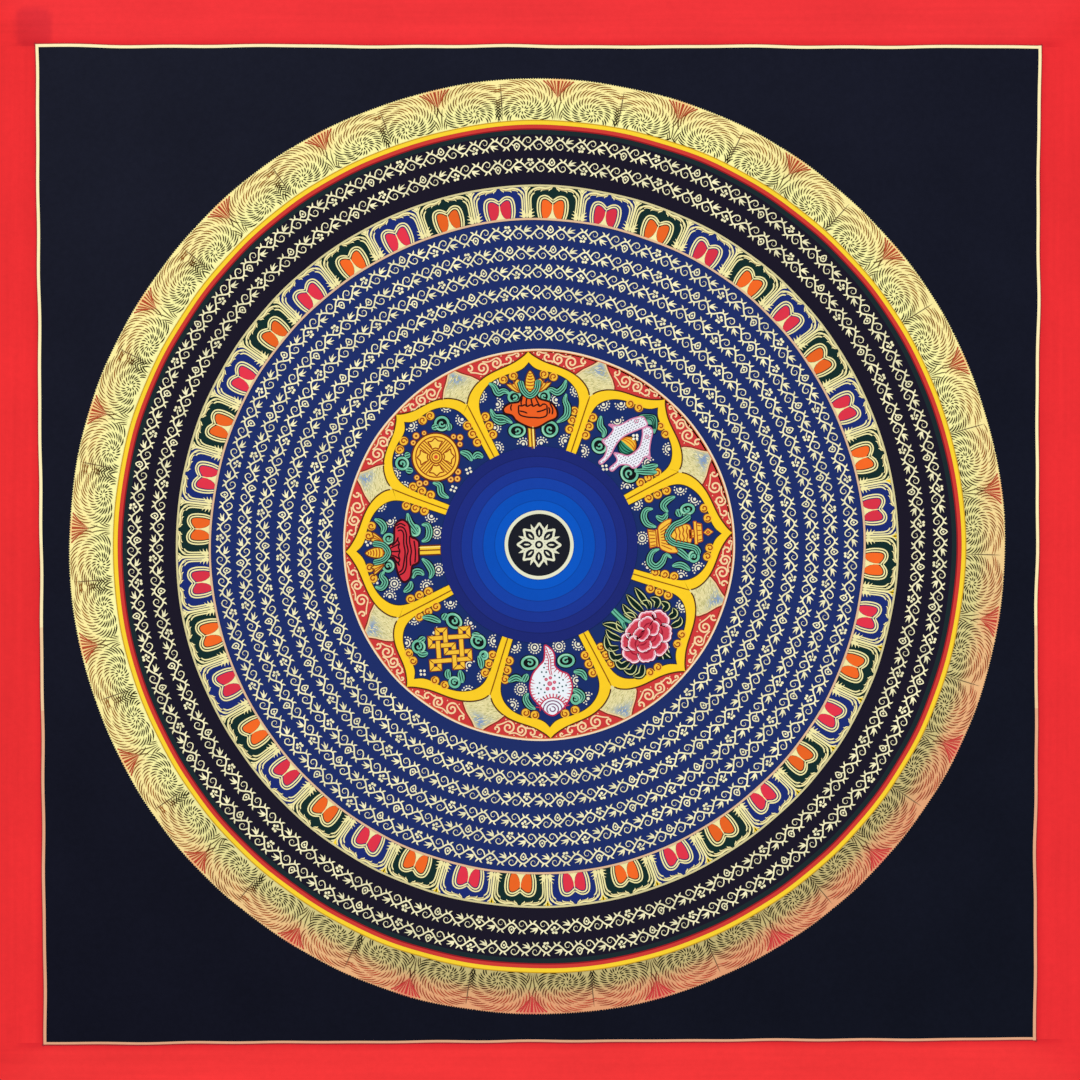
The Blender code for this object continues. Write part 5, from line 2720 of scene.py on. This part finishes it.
@dataclass
class Peony(Emblem):
    """A red peony with white-rimmed petals on a forked stem, in dark leaves."""

    red: tuple = (206, 62, 80)
    pink: tuple = (236, 150, 168)
    white: tuple = (252, 238, 242)
    wine: tuple = (140, 26, 46)
    root: tuple = (156, 28, 50)
    backing: tuple = (150, 30, 50)
    stem: tuple = (104, 184, 154)
    shade: tuple = (12, 34, 30)
    leaf_rim: tuple = (214, 216, 150)
    sepal_line: tuple = (214, 216, 170)
    petals: tuple = (
        (-0.8, 74.6, 3.9, 2.6, 0.0), (-7.4, 71.2, 4.4, 3.4, -38.0), (5.9, 71.2, 4.4, 3.4, 38.0),
        (-11.4, 65.4, 4.6, 3.2, -88.0), (10.6, 65.6, 4.6, 3.2, 84.0),
        (-7.8, 60.2, 4.2, 3.0, -140.0), (7.2, 60.2, 4.2, 3.0, 142.0), (0.2, 58.8, 5.6, 3.0, 180.0),
        (-1.9, 70.4, 3.9, 2.5, 0.0), (3.4, 67.8, 3.6, 2.6, 25.0), (-5.8, 66.0, 3.5, 2.6, -28.0),
        (5.6, 62.8, 3.5, 2.7, 150.0), (-5.2, 61.2, 3.8, 2.6, 195.0), (0.6, 61.9, 3.2, 2.2, 180.0),
        (-0.5, 64.4, 3.6, 2.1, 0.0),
    )
    leaves: tuple = (
        ((-11.9, 57.4), (-13.4, 52.0), (-14.7, 46.8)), ((-8.4, 57.0), (-8.8, 51.0), (-9.8, 46.0)),
        ((-4.8, 56.6), (-4.0, 51.6), (-5.2, 47.4)), ((4.6, 56.0), (5.4, 50.6), (8.0, 46.2)),
        ((8.2, 57.2), (9.6, 52.8), (8.8, 49.0)), ((11.6, 59.0), (14.6, 55.4), (11.0, 50.6)),
        ((13.2, 62.8), (16.6, 60.4), (14.4, 55.6)), ((13.4, 66.6), (17.4, 65.4), (16.8, 61.0)),
        ((12.6, 69.8), (16.4, 70.4), (17.8, 67.0)), ((10.6, 72.4), (14.4, 74.6), (17.6, 72.4)),
        ((-11.6, 71.6), (-15.4, 73.2), (-17.6, 71.8)),
        ((-13.8, 68.0), (-17.0, 69.0), (-18.4, 66.4)),
        ((-14.6, 64.0), (-17.4, 63.8), (-17.2, 60.4)), ((-13.4, 60.4), (-16.4, 59.0),
                                                      (-15.6, 55.4)),
        ((-11.2, 58.6), (-12.8, 56.2), (-11.0, 53.4)), ((-2.6, 56.8), (-3.4, 54.0), (-1.8, 50.8)),
        ((3.2, 56.4), (4.0, 53.4), (2.6, 50.4)),
    )

    def leaf(self, path: tuple) -> None:
        """Paint a dark pointed leaf with a pale rim.

        Args:
            path: its middle line, from the root to the tip.
        """
        middle = evenly(smooth_line(path), 13)
        width = 2.7 * np.sin(np.pi * np.linspace(0.15, 1.0, 13)) ** 0.8
        across = beside(middle, 1.0) - middle
        self.sketch.path(middle, 4.3, self.shade, Level.LINE, Tip.BLUNT)
        for sign in (-1, 1):
            edge = middle + 0.5 * sign * width[:, None] * across
            self.sketch.path(edge, 0.5, self.leaf_rim, Level.SCARF, Tip.LEAF)

    def bloom(self, x: float, y: float, wide: float, tall: float, turn: float,
              level: Level) -> None:
        """Paint one petal: red at its root, pink outwards, with a white rim.

        Args:
            x: its middle, across.
            y: its middle, upwards.
            wide: half its width.
            tall: half its height.
            turn: the way that it points.
            level: its coat.
        """
        place = Place((x, y), turn)
        rim = [(-1.0, -0.5), (-0.95, 0.25), (-0.55, 0.85), (-0.2, 0.8), (0.0, 0.95),
               (0.25, 0.82), (0.6, 0.8), (0.95, 0.25), (1.0, -0.5), (0.0, -1.0)]
        outline = place.lay(evenly(smooth_line(rim, closed=True), 33)[:-1] * (wide, tall))
        self.sketch.shape(outline, self.red, level, smooth=False)
        for size, colour, thick in ((0.79, self.pink, 0.9), (0.93, self.white, 0.8),
                                    (1.05, self.wine, 0.4)):
            edge = np.array(rim[:9], float) * size * (wide, tall)
            self.sketch.line(place.lay(edge), thick, colour, Level(level + 1), Tip.BLUNT)
        root = place.lay(np.array([(-0.6, -0.6), (0.0, -0.35), (0.6, -0.6)]) * (wide, tall))
        self.sketch.line(root, 0.8, self.root, Level(level + 1), Tip.LEAF)

    def figure(self) -> None:
        """Paint the leaves, the stem and the petals from the outside in."""
        for path in self.leaves:
            self.leaf(path)
        trunk = ((-1.9, 56.8), (-0.9, 52.0), (-1.2, 45.2), (1.2, 45.2), (2.0, 51.0),
                 (4.4, 57.2), (2.6, 57.2), (0.7, 53.6), (-0.2, 56.8))
        self.filled(trunk, self.stem, Pigment.DEEP_GREEN, 0.5, level=Level.SCARF)
        self.lines([[(0.5, 53.6), (0.3, 49.0), (-0.1, 45.6)], [(1.2, 53.2), (4.6, 57.0)]], 0.4,
                   Pigment.DEEP_GREEN, Level.FIGURE)
        self.sketch.shape([(-5.2, 75.8), (-2.6, 77.6), (-0.4, 81.6), (2.4, 78.4), (4.8, 76.0)],
                          self.shade, Level.LINE, smooth=False)
        self.lines([[(-2.6, 76.8), (-1.7, 78.6)], [(-0.3, 77.2), (-0.2, 80.4)],
                    [(1.6, 77.0), (2.4, 78.4)], [(-3.9, 76.4), (-3.6, 77.2)]], 0.5,
                   self.sepal_line, Level.SCARF)
        self.sketch.shape(arc((-0.4, 65.8), (12.3, 9.4), 0.0, 350.0, 36), self.backing,
                          Level.SCARF, smooth=False)
        for number, petal in enumerate(self.petals):
            self.bloom(*petal, Level.FOLD if number < 8 else Level.DETAIL)


@dataclass
class Conch(Emblem):
    """A white conch with a wound crown above, red rims and dots, and a long foot."""

    shell: tuple = (238, 244, 250)
    red: tuple = (200, 52, 84)
    plum: tuple = (128, 72, 112)
    teal: tuple = (40, 96, 96)
    pink: tuple = (226, 120, 146)
    outline: tuple = ((-0.2, 45.9), (-3.0, 48.0), (-4.2, 51.0), (-4.0, 55.6), (-6.4, 58.4),
                      (-9.8, 60.4), (-11.2, 65.9), (-9.8, 70.9), (-6.9, 75.0), (-3.4, 77.8),
                      (-1.0, 78.6), (1.8, 77.2), (4.2, 74.0), (7.4, 69.8), (8.3, 64.8),
                      (6.6, 59.2), (3.4, 55.4), (1.0, 53.0), (0.2, 49.4))

    def figure(self) -> None:
        """Paint the shell, then its crown, rim strokes, dots and foot."""
        self.filled(self.outline, self.shell, self.red, 0.68)
        crown = (-1.4, 75.7)
        for radius, start, end in ((1.1, -200.0, 130.0), (2.4, 50.0, 315.0),
                                   (3.8, 72.0, 285.0), (5.2, 84.0, 276.0)):
            ring = arc(crown, (radius * 1.12, radius), start, end, 25)
            colour = self.red if radius > 5.0 else self.plum
            self.sketch.line(ring, 0.52, colour, Level.LIGHT, smooth=False, fine=0.6)
        teeth = arc(crown, (6.0, 5.2), 102.0, 258.0, 14)
        out = (teeth - crown) / np.linalg.norm(teeth - crown, axis=1, keepdims=True)
        self.sketch.strokes(np.stack([teeth, teeth + 1.9 * out], 1), 0.55, self.red,
                            Level.LIGHT, Tip.EVEN)
        rim = evenly(smooth_line(self.outline, closed=True), 161)
        inward = beside(rim, 1.0) - rim
        for number in range(26, 128, 3):
            start = rim[number]
            if 74.0 < start[1] or 54.0 > start[1]:
                continue
            length = 1.6 if number % 2 else 2.4
            self.lines([[start, start + length * inward[number] + (0.0, 0.25)]], 0.56,
                       self.red, Level.LIGHT, Tip.TAIL)
        teal = [(-6.8, 67.6), (-4.9, 68.2), (-6.6, 65.6), (-5.4, 64.0), (-7.2, 62.6), (-5.6, 61.4),
                (-4.6, 65.9), (-3.6, 60.4), (1.6, 67.8), (3.2, 66.2), (1.6, 64.4), (3.6, 63.2),
                (1.4, 60.4), (0.2, 58.4), (2.2, 58.2), (1.0, 56.2), (0.4, 54.4), (4.8, 65.4),
                (4.4, 68.0), (2.4, 70.0), (-4.4, 70.4), (-8.4, 65.2)]
        self.sketch.dots(teal, 0.42, self.teal, Level.LIGHT, 8)
        for centre, radius in (((-1.0, 63.9), 0.95), ((0.2, 66.2), 0.7), ((-2.6, 66.3), 0.7),
                               ((-3.2, 63.4), 0.62), ((-1.5, 61.2), 0.62), ((0.5, 61.8), 0.6)):
            self.sketch.dots([centre], radius, self.pink, Level.LIGHT, 10)
            self.sketch.loop(centre, radius, 0.3, self.red, Level.GLAZE, 12)
        foot = ([(-2.4, 60.2), (-2.0, 57.4), (-2.2, 53.2), (-1.2, 49.0), (-0.4, 46.6)],
                [(-1.6, 60.0), (-1.0, 56.6), (-1.3, 53.0), (-0.4, 49.6)])
        self.lines(foot, 0.4, self.red, Level.LIGHT)
        for y in (47.6, 48.8, 50.0, 51.3, 52.6, 54.0, 55.4, 56.8):
            self.lines([[(-3.9 + 0.16 * max(0.0, 52.0 - y) ** 1.6, y), (-1.9, y + 0.35)]],
                       0.36, self.red, Level.LIGHT)
            self.lines([[(-1.2, y + 0.5), (0.2, y + 0.4)]], 0.3, self.red, Level.LIGHT)


@dataclass
class Knot(Emblem):
    """A gold knot of two slant bands woven over and under each other."""

    middle: tuple = (-1.1, 62.0)
    pitch: float = 3.55
    band: float = 1.8
    edging: float = 0.75
    gold: tuple = (248, 196, 58)
    edge: tuple = (128, 56, 30)
    loops: tuple = (
        ((-1, -1), (-1, 0), (4, 0), (4, 1), (1, 1), (1, 4), (0, 4), (0, -1)),
        ((4, 4), (3, 4), (3, -1), (2, -1), (2, 2), (-1, 2), (-1, 3), (4, 3)),
    )
    slanting_right: tuple = ((0, 0), (3, 0), (2, 1), (1, 2), (0, 3), (3, 3))
    slanting_left: tuple = ((2, 0), (3, 1), (1, 3), (0, 2))

    def spot(self, places: Line) -> Array:
        """Give the places of crossings counted along the two slants.

        Args:
            places: rows of two counts, one for each slant.

        Returns:
            Places.
        """
        along = (np.asarray(places, float) - 1.5) * self.pitch
        x = (along[:, 0] - along[:, 1]) * math.sqrt(0.5)
        y = (along[:, 0] + along[:, 1]) * math.sqrt(0.5)
        return np.stack([x, y], 1) + self.middle

    def strip(self, ends: Line, level: Level) -> None:
        """Paint one straight run of the band with dark edges and a pale line.

        Args:
            ends: the crossings at its two ends.
            level: its coat.
        """
        path = self.spot(ends)
        ahead = unit(path[1] - path[0])
        full = np.array([path[0] - 0.5 * self.band * ahead, path[1] + 0.5 * self.band * ahead])
        half = 0.5 * self.edging
        edged = np.array([full[0] - half * ahead, full[1] + half * ahead])
        self.sketch.path(edged, self.band + self.edging, self.edge, level)
        self.sketch.path(full, self.band, self.gold, Level(level + 1))

    def crossing(self, across: int, up: int, level_run: bool) -> None:
        """Paint the run that passes over at a crossing once more.

        Args:
            across: the crossing's count along one slant.
            up: its count along the other.
            level_run: whether the first slant's run passes over.
        """
        middle = np.array((across, up), float)
        step = np.array((0.36, 0.0) if level_run else (0.0, 0.36))
        path = self.spot([middle - step, middle + step])
        self.sketch.path(path, self.band + self.edging, self.edge, Level.DETAIL)
        ahead = 0.45 * (path[1] - path[0]) / np.linalg.norm(path[1] - path[0])
        longer = np.array([path[0] - ahead, path[1] + ahead])
        self.sketch.path(longer, self.band, self.gold, Level.LIGHT)

    def figure(self) -> None:
        """Paint the loops, then the runs that pass over the others again."""
        for loop in self.loops:
            for start, end in zip(loop, loop[1:] + loop[:1]):
                self.strip((start, end), Level.FOLD)
            corners = self.spot(loop)
            for number, corner in enumerate(corners):
                before, after = corners[number - 1], corners[(number + 1) % len(corners)]
                away = unit(corner - before) + unit(corner - after)
                mitre = [corner - 0.5 * self.band * away, corner + 0.5 * self.band * away]
                self.lines([mitre], 0.4, self.edge, Level.DETAIL, smooth=False)
        for spots, level_run in ((self.slanting_right, True), (self.slanting_left, False)):
            for across, up in spots:
                self.crossing(across, up, level_run)


@dataclass
class Wheel(Emblem):
    """A gold wheel with bundled spokes, stars between them and ringed knobs."""

    centre: tuple = (0.8, 62.6)
    radius: float = 11.0
    gold: tuple = (252, 198, 66)
    line: tuple = (150, 62, 22)
    rim: tuple = (110, 46, 22)
    star: tuple = (250, 206, 76)
    hub: tuple = (214, 80, 50)
    knob_coats: tuple = ((1.0, 0.4, (128, 52, 24), Level.SCARF, 16),
                         (1.0, 0.0, (246, 184, 80), Level.FOLD, 16),
                         (0.4, 0.0, (140, 60, 30), Level.FIGURE, 8))
    knobs: tuple = (
        (2.3, 75.9, 1.45), (-1.0, 74.8, 1.15), (5.7, 73.9, 1.0), (-12.1, 63.1, 1.1),
        (-13.4, 60.4, 1.35), (-11.3, 58.4, 1.1), (13.3, 62.3, 1.1), (15.0, 59.8, 1.3),
        (12.6, 57.8, 1.1), (-2.6, 50.7, 1.3), (-0.4, 48.5, 1.3), (2.3, 50.4, 1.3),
    )

    def figure(self) -> None:
        """Paint the knobs, the rim, the spokes and the stars."""
        for x, y, radius in self.knobs:
            for size, more, colour, level, sides in self.knob_coats:
                self.sketch.dots([(x, y)], size * radius + more, colour, level, sides)
        disc = arc(self.centre, self.radius, 0.0, 352.0, 64)
        self.sketch.shape(disc, self.gold, Level.FIGURE, smooth=False)
        for size, width, colour in ((1.0, 0.7, self.rim), (0.845, 0.55, self.line)):
            self.sketch.loop(self.centre, self.radius * size, width, colour, Level.DETAIL, 48)
        for quarter in range(4):
            turn = 90.0 * quarter + 2.0
            place = Place(self.centre, turn)
            for gap in (-1.8, -0.6, 0.6, 1.8):
                spoke = place.lay(np.array([(0.85 * gap, 2.8), (gap, 9.0)]))
                self.sketch.line(spoke, 0.45, self.line, Level.DETAIL, smooth=False)
            corner = Place(self.centre, turn + 45.0)
            star = corner.lay(np.array([(0.0, 8.7), (1.5, 7.3), (3.5, 7.0), (2.2, 5.3), (1.6, 3.6),
                                        (0.0, 4.1), (-1.6, 3.6), (-2.2, 5.3), (-3.5, 7.0),
                                        (-1.5, 7.3)]))
            self.filled(star, self.star, self.line, 0.55, smooth=False, level=Level.DETAIL)
        for radius, thick in ((2.9, 0.6), (1.9, 0.5)):
            self.sketch.dots([self.centre], radius, self.gold, Level.LIGHT, 24)
            self.sketch.loop(self.centre, radius, thick, self.line, Level.GLAZE, 24)
        self.sketch.dots([self.centre], 0.9, self.hub, Level.GLAZE, 12)


def emblems() -> list[Emblem]:
    """Give the eight emblems, clockwise from the top petal.

    Returns:
        The emblems, not yet painted.
    """
    return [
        parasol(),
        FishPair("emblem_fish", 41.9,
                 scarves=(((-18.2, 65.0), (-15.6, 61.4), (-12.4, 60.6), (-11.0, 58.2)),
                          ((18.2, 62.8), (14.4, 59.6), (10.2, 56.2)),
                          ((16.4, 65.4), (13.6, 61.4), (11.4, 60.2))),
                 curls=(((-9.7, 54.2), (3.8, 3.7), -1), ((9.2, 53.8), (4.5, 4.3), 1))),
        Vase("emblem_vase", 85.4,
             scarves=(((-12.0, 66.0), (-8.4, 67.0)), ((-9.6, 71.8), (-8.6, 68.4)),
                      ((-18.0, 65.4), (-16.6, 61.6), (-14.0, 59.6), (-11.0, 61.6)),
                      ((-10.6, 61.2), (-8.0, 59.0), (-9.8, 56.0)),
                      ((-13.2, 54.8), (-13.0, 51.6), (-9.9, 50.2), (-6.4, 51.6), (-4.6, 55.6)),
                      ((16.8, 69.8), (13.8, 66.0), (13.8, 61.6)),
                      ((10.2, 61.6), (8.4, 59.2), (11.8, 57.0), (13.6, 53.8), (10.8, 51.2),
                       (6.8, 52.8), (5.6, 56.2)),
                      ((12.0, 70.0), (8.0, 66.4), (5.2, 62.2))),
             curls=(((-11.6, 70.6), (2.6, 3.4), -1), ((10.4, 72.0), (2.8, 2.6), 1))),
        Peony("emblem_peony", 129.8),
        Conch("emblem_conch", 175.6,
              scarves=(((-13.6, 73.6), (-15.4, 70.8), (-13.4, 68.4), (-10.8, 67.4)),
                       ((-18.0, 63.4), (-16.2, 60.0), (-12.4, 59.2)),
                       ((6.6, 75.2), (9.4, 73.4), (10.8, 70.0), (9.2, 67.6)),
                       ((11.0, 62.2), (8.8, 58.6)), ((18.2, 61.4), (14.4, 59.9), (11.4, 61.6))),
              curls=(((-9.4, 53.7), (4.2, 3.2), -1), ((7.4, 53.5), (4.1, 3.3), 1),
                     ((-12.2, 71.8), (2.3, 2.4), 1))),
        Knot("emblem_knot", 221.4,
             scarves=(((-16.0, 70.2), (-13.6, 68.4), (-11.2, 66.6)),
                      ((-10.0, 73.0), (-8.0, 71.4), (-7.0, 69.6)),
                      ((-18.2, 59.6), (-15.8, 57.2), (-13.2, 56.0)),
                      ((5.2, 70.2), (7.2, 72.4), (9.4, 72.6)), ((11.8, 69.2), (11.0, 65.6)),
                      ((18.0, 59.6), (14.8, 57.2), (10.2, 55.6)),
                      ((-4.4, 50.4), (-8.0, 48.4)), ((10.2, 54.2), (10.8, 51.0))),
             curls=(((-13.0, 72.4), (2.8, 2.6), -1), ((10.4, 70.8), (3.3, 3.2), 1),
                    ((-8.8, 51.0), (4.0, 3.4), -1), ((6.0, 51.2), (4.3, 3.3), 1),
                    ((-15.0, 54.2), (2.1, 2.0), 1))),
        banner(),
        Wheel("emblem_wheel", 310.8,
              scarves=(((-12.8, 69.2), (-11.0, 66.4)), ((-8.2, 73.8), (-6.0, 72.4)),
                       ((9.8, 72.6), (12.6, 70.8)), ((16.6, 68.2), (14.2, 65.6)),
                       ((-9.2, 56.0), (-8.0, 53.0), (-10.4, 49.8), (-9.8, 45.8)),
                       ((10.0, 55.4), (11.4, 52.0), (10.4, 48.6)),
                       ((11.6, 48.8), (14.2, 48.6), (14.8, 45.8))),
              curls=(((-11.6, 72.4), (3.1, 3.2), -1), ((14.4, 70.4), (3.6, 3.6), 1))),
    ]


# --------------------------------------------------------------- studio


@dataclass
class Studio:
    """The floor, soft light and the camera straight above the sheet."""

    camera_height: float = 2.0
    shown_width: float = 0.500
    sensor: float = 36.0
    floor_half: float = 3.0
    sky_strength: float = 0.59
    lamps: tuple = (("key", (-1.3, 1.5, 2.1), 31.0, 1.5), ("fill", (1.6, -0.4, 2.0), 16.5, 1.8))

    def floor(self) -> None:
        """Lay the pale floor: a flat plane with an inset ring of faces round its edge."""
        bpy.ops.object.select_all(action="DESELECT")
        bpy.ops.mesh.primitive_plane_add(size=2.0 * self.floor_half)
        floor = bpy.context.object
        floor.name = floor.data.name = "studio_floor"
        bpy.ops.object.mode_set(mode="EDIT")
        bpy.ops.mesh.select_all(action="SELECT")
        bpy.ops.mesh.inset(thickness=0.5, depth=0.0)
        bpy.ops.object.mode_set(mode="OBJECT")
        floor.data.materials.append(StudioFloor().material())

    def lights(self) -> None:
        """Light the sheet softly from all round and a little more from the top."""
        world = bpy.data.worlds.new("soft_studio")
        bpy.context.scene.world = world
        world.use_nodes = True
        sky = world.node_tree.nodes["Background"]
        sky.inputs["Color"].default_value = (1.0, 1.0, 1.0, 1.0)
        sky.inputs["Strength"].default_value = self.sky_strength
        for name, place, power, size in self.lamps:
            lamp = bpy.data.lights.new(name, "AREA")
            lamp.energy = power
            lamp.size = size
            light = bpy.data.objects.new(name, lamp)
            bpy.context.scene.collection.objects.link(light)
            light.location = place
            flat = math.hypot(place[0], place[1])
            light.rotation_euler = (math.atan2(flat, place[2]), 0.0,
                                    math.atan2(place[0], -place[1]))

    def camera(self) -> None:
        """Hang the camera over the middle of the sheet, looking straight down."""
        data = bpy.data.cameras.new("overhead")
        data.sensor_width = self.sensor
        data.lens = self.sensor * self.camera_height / self.shown_width
        camera = bpy.data.objects.new("overhead", data)
        camera.location = (0.0, 0.0, self.camera_height + CanvasSheet.thickness * METRES)
        bpy.context.scene.collection.objects.link(camera)
        bpy.context.scene.camera = camera

    def build(self) -> None:
        """Set up the whole studio."""
        self.floor()
        self.lights()
        self.camera()
        bpy.context.scene.view_settings.view_transform = "Standard"


def main() -> None:
    """Build the painting coat by coat, then the studio round it."""
    logging.basicConfig(level=logging.INFO, format="%(name)s: %(message)s")
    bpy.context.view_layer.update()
    sheet = CanvasSheet()
    canvas = sheet.build()
    medallion = Medallion()
    paint = [
        *Margins(sheet).build(),
        *RingBands().build(),
        *FlameRing().build(),
        VineRings("dark_ring_ornaments", ((176.4, 0.6), (186.6, 0.2))).build(),
        VineRings("blue_ring_ornaments",
                  ((98.6, 0.4), (107.9, 1.3), (117.6, 2.2), (127.3, 0.1), (136.1, 1.0),
                   (145.4, 0.5))).build(),
        *LotusRing().build(),
        *medallion.build(),
        Pearls().build(medallion.petals),
        *[emblem.build() for emblem in emblems()],
        *HeartDisc().build(),
    ]
    Studio().build()


if __name__ == "__main__":
    main()
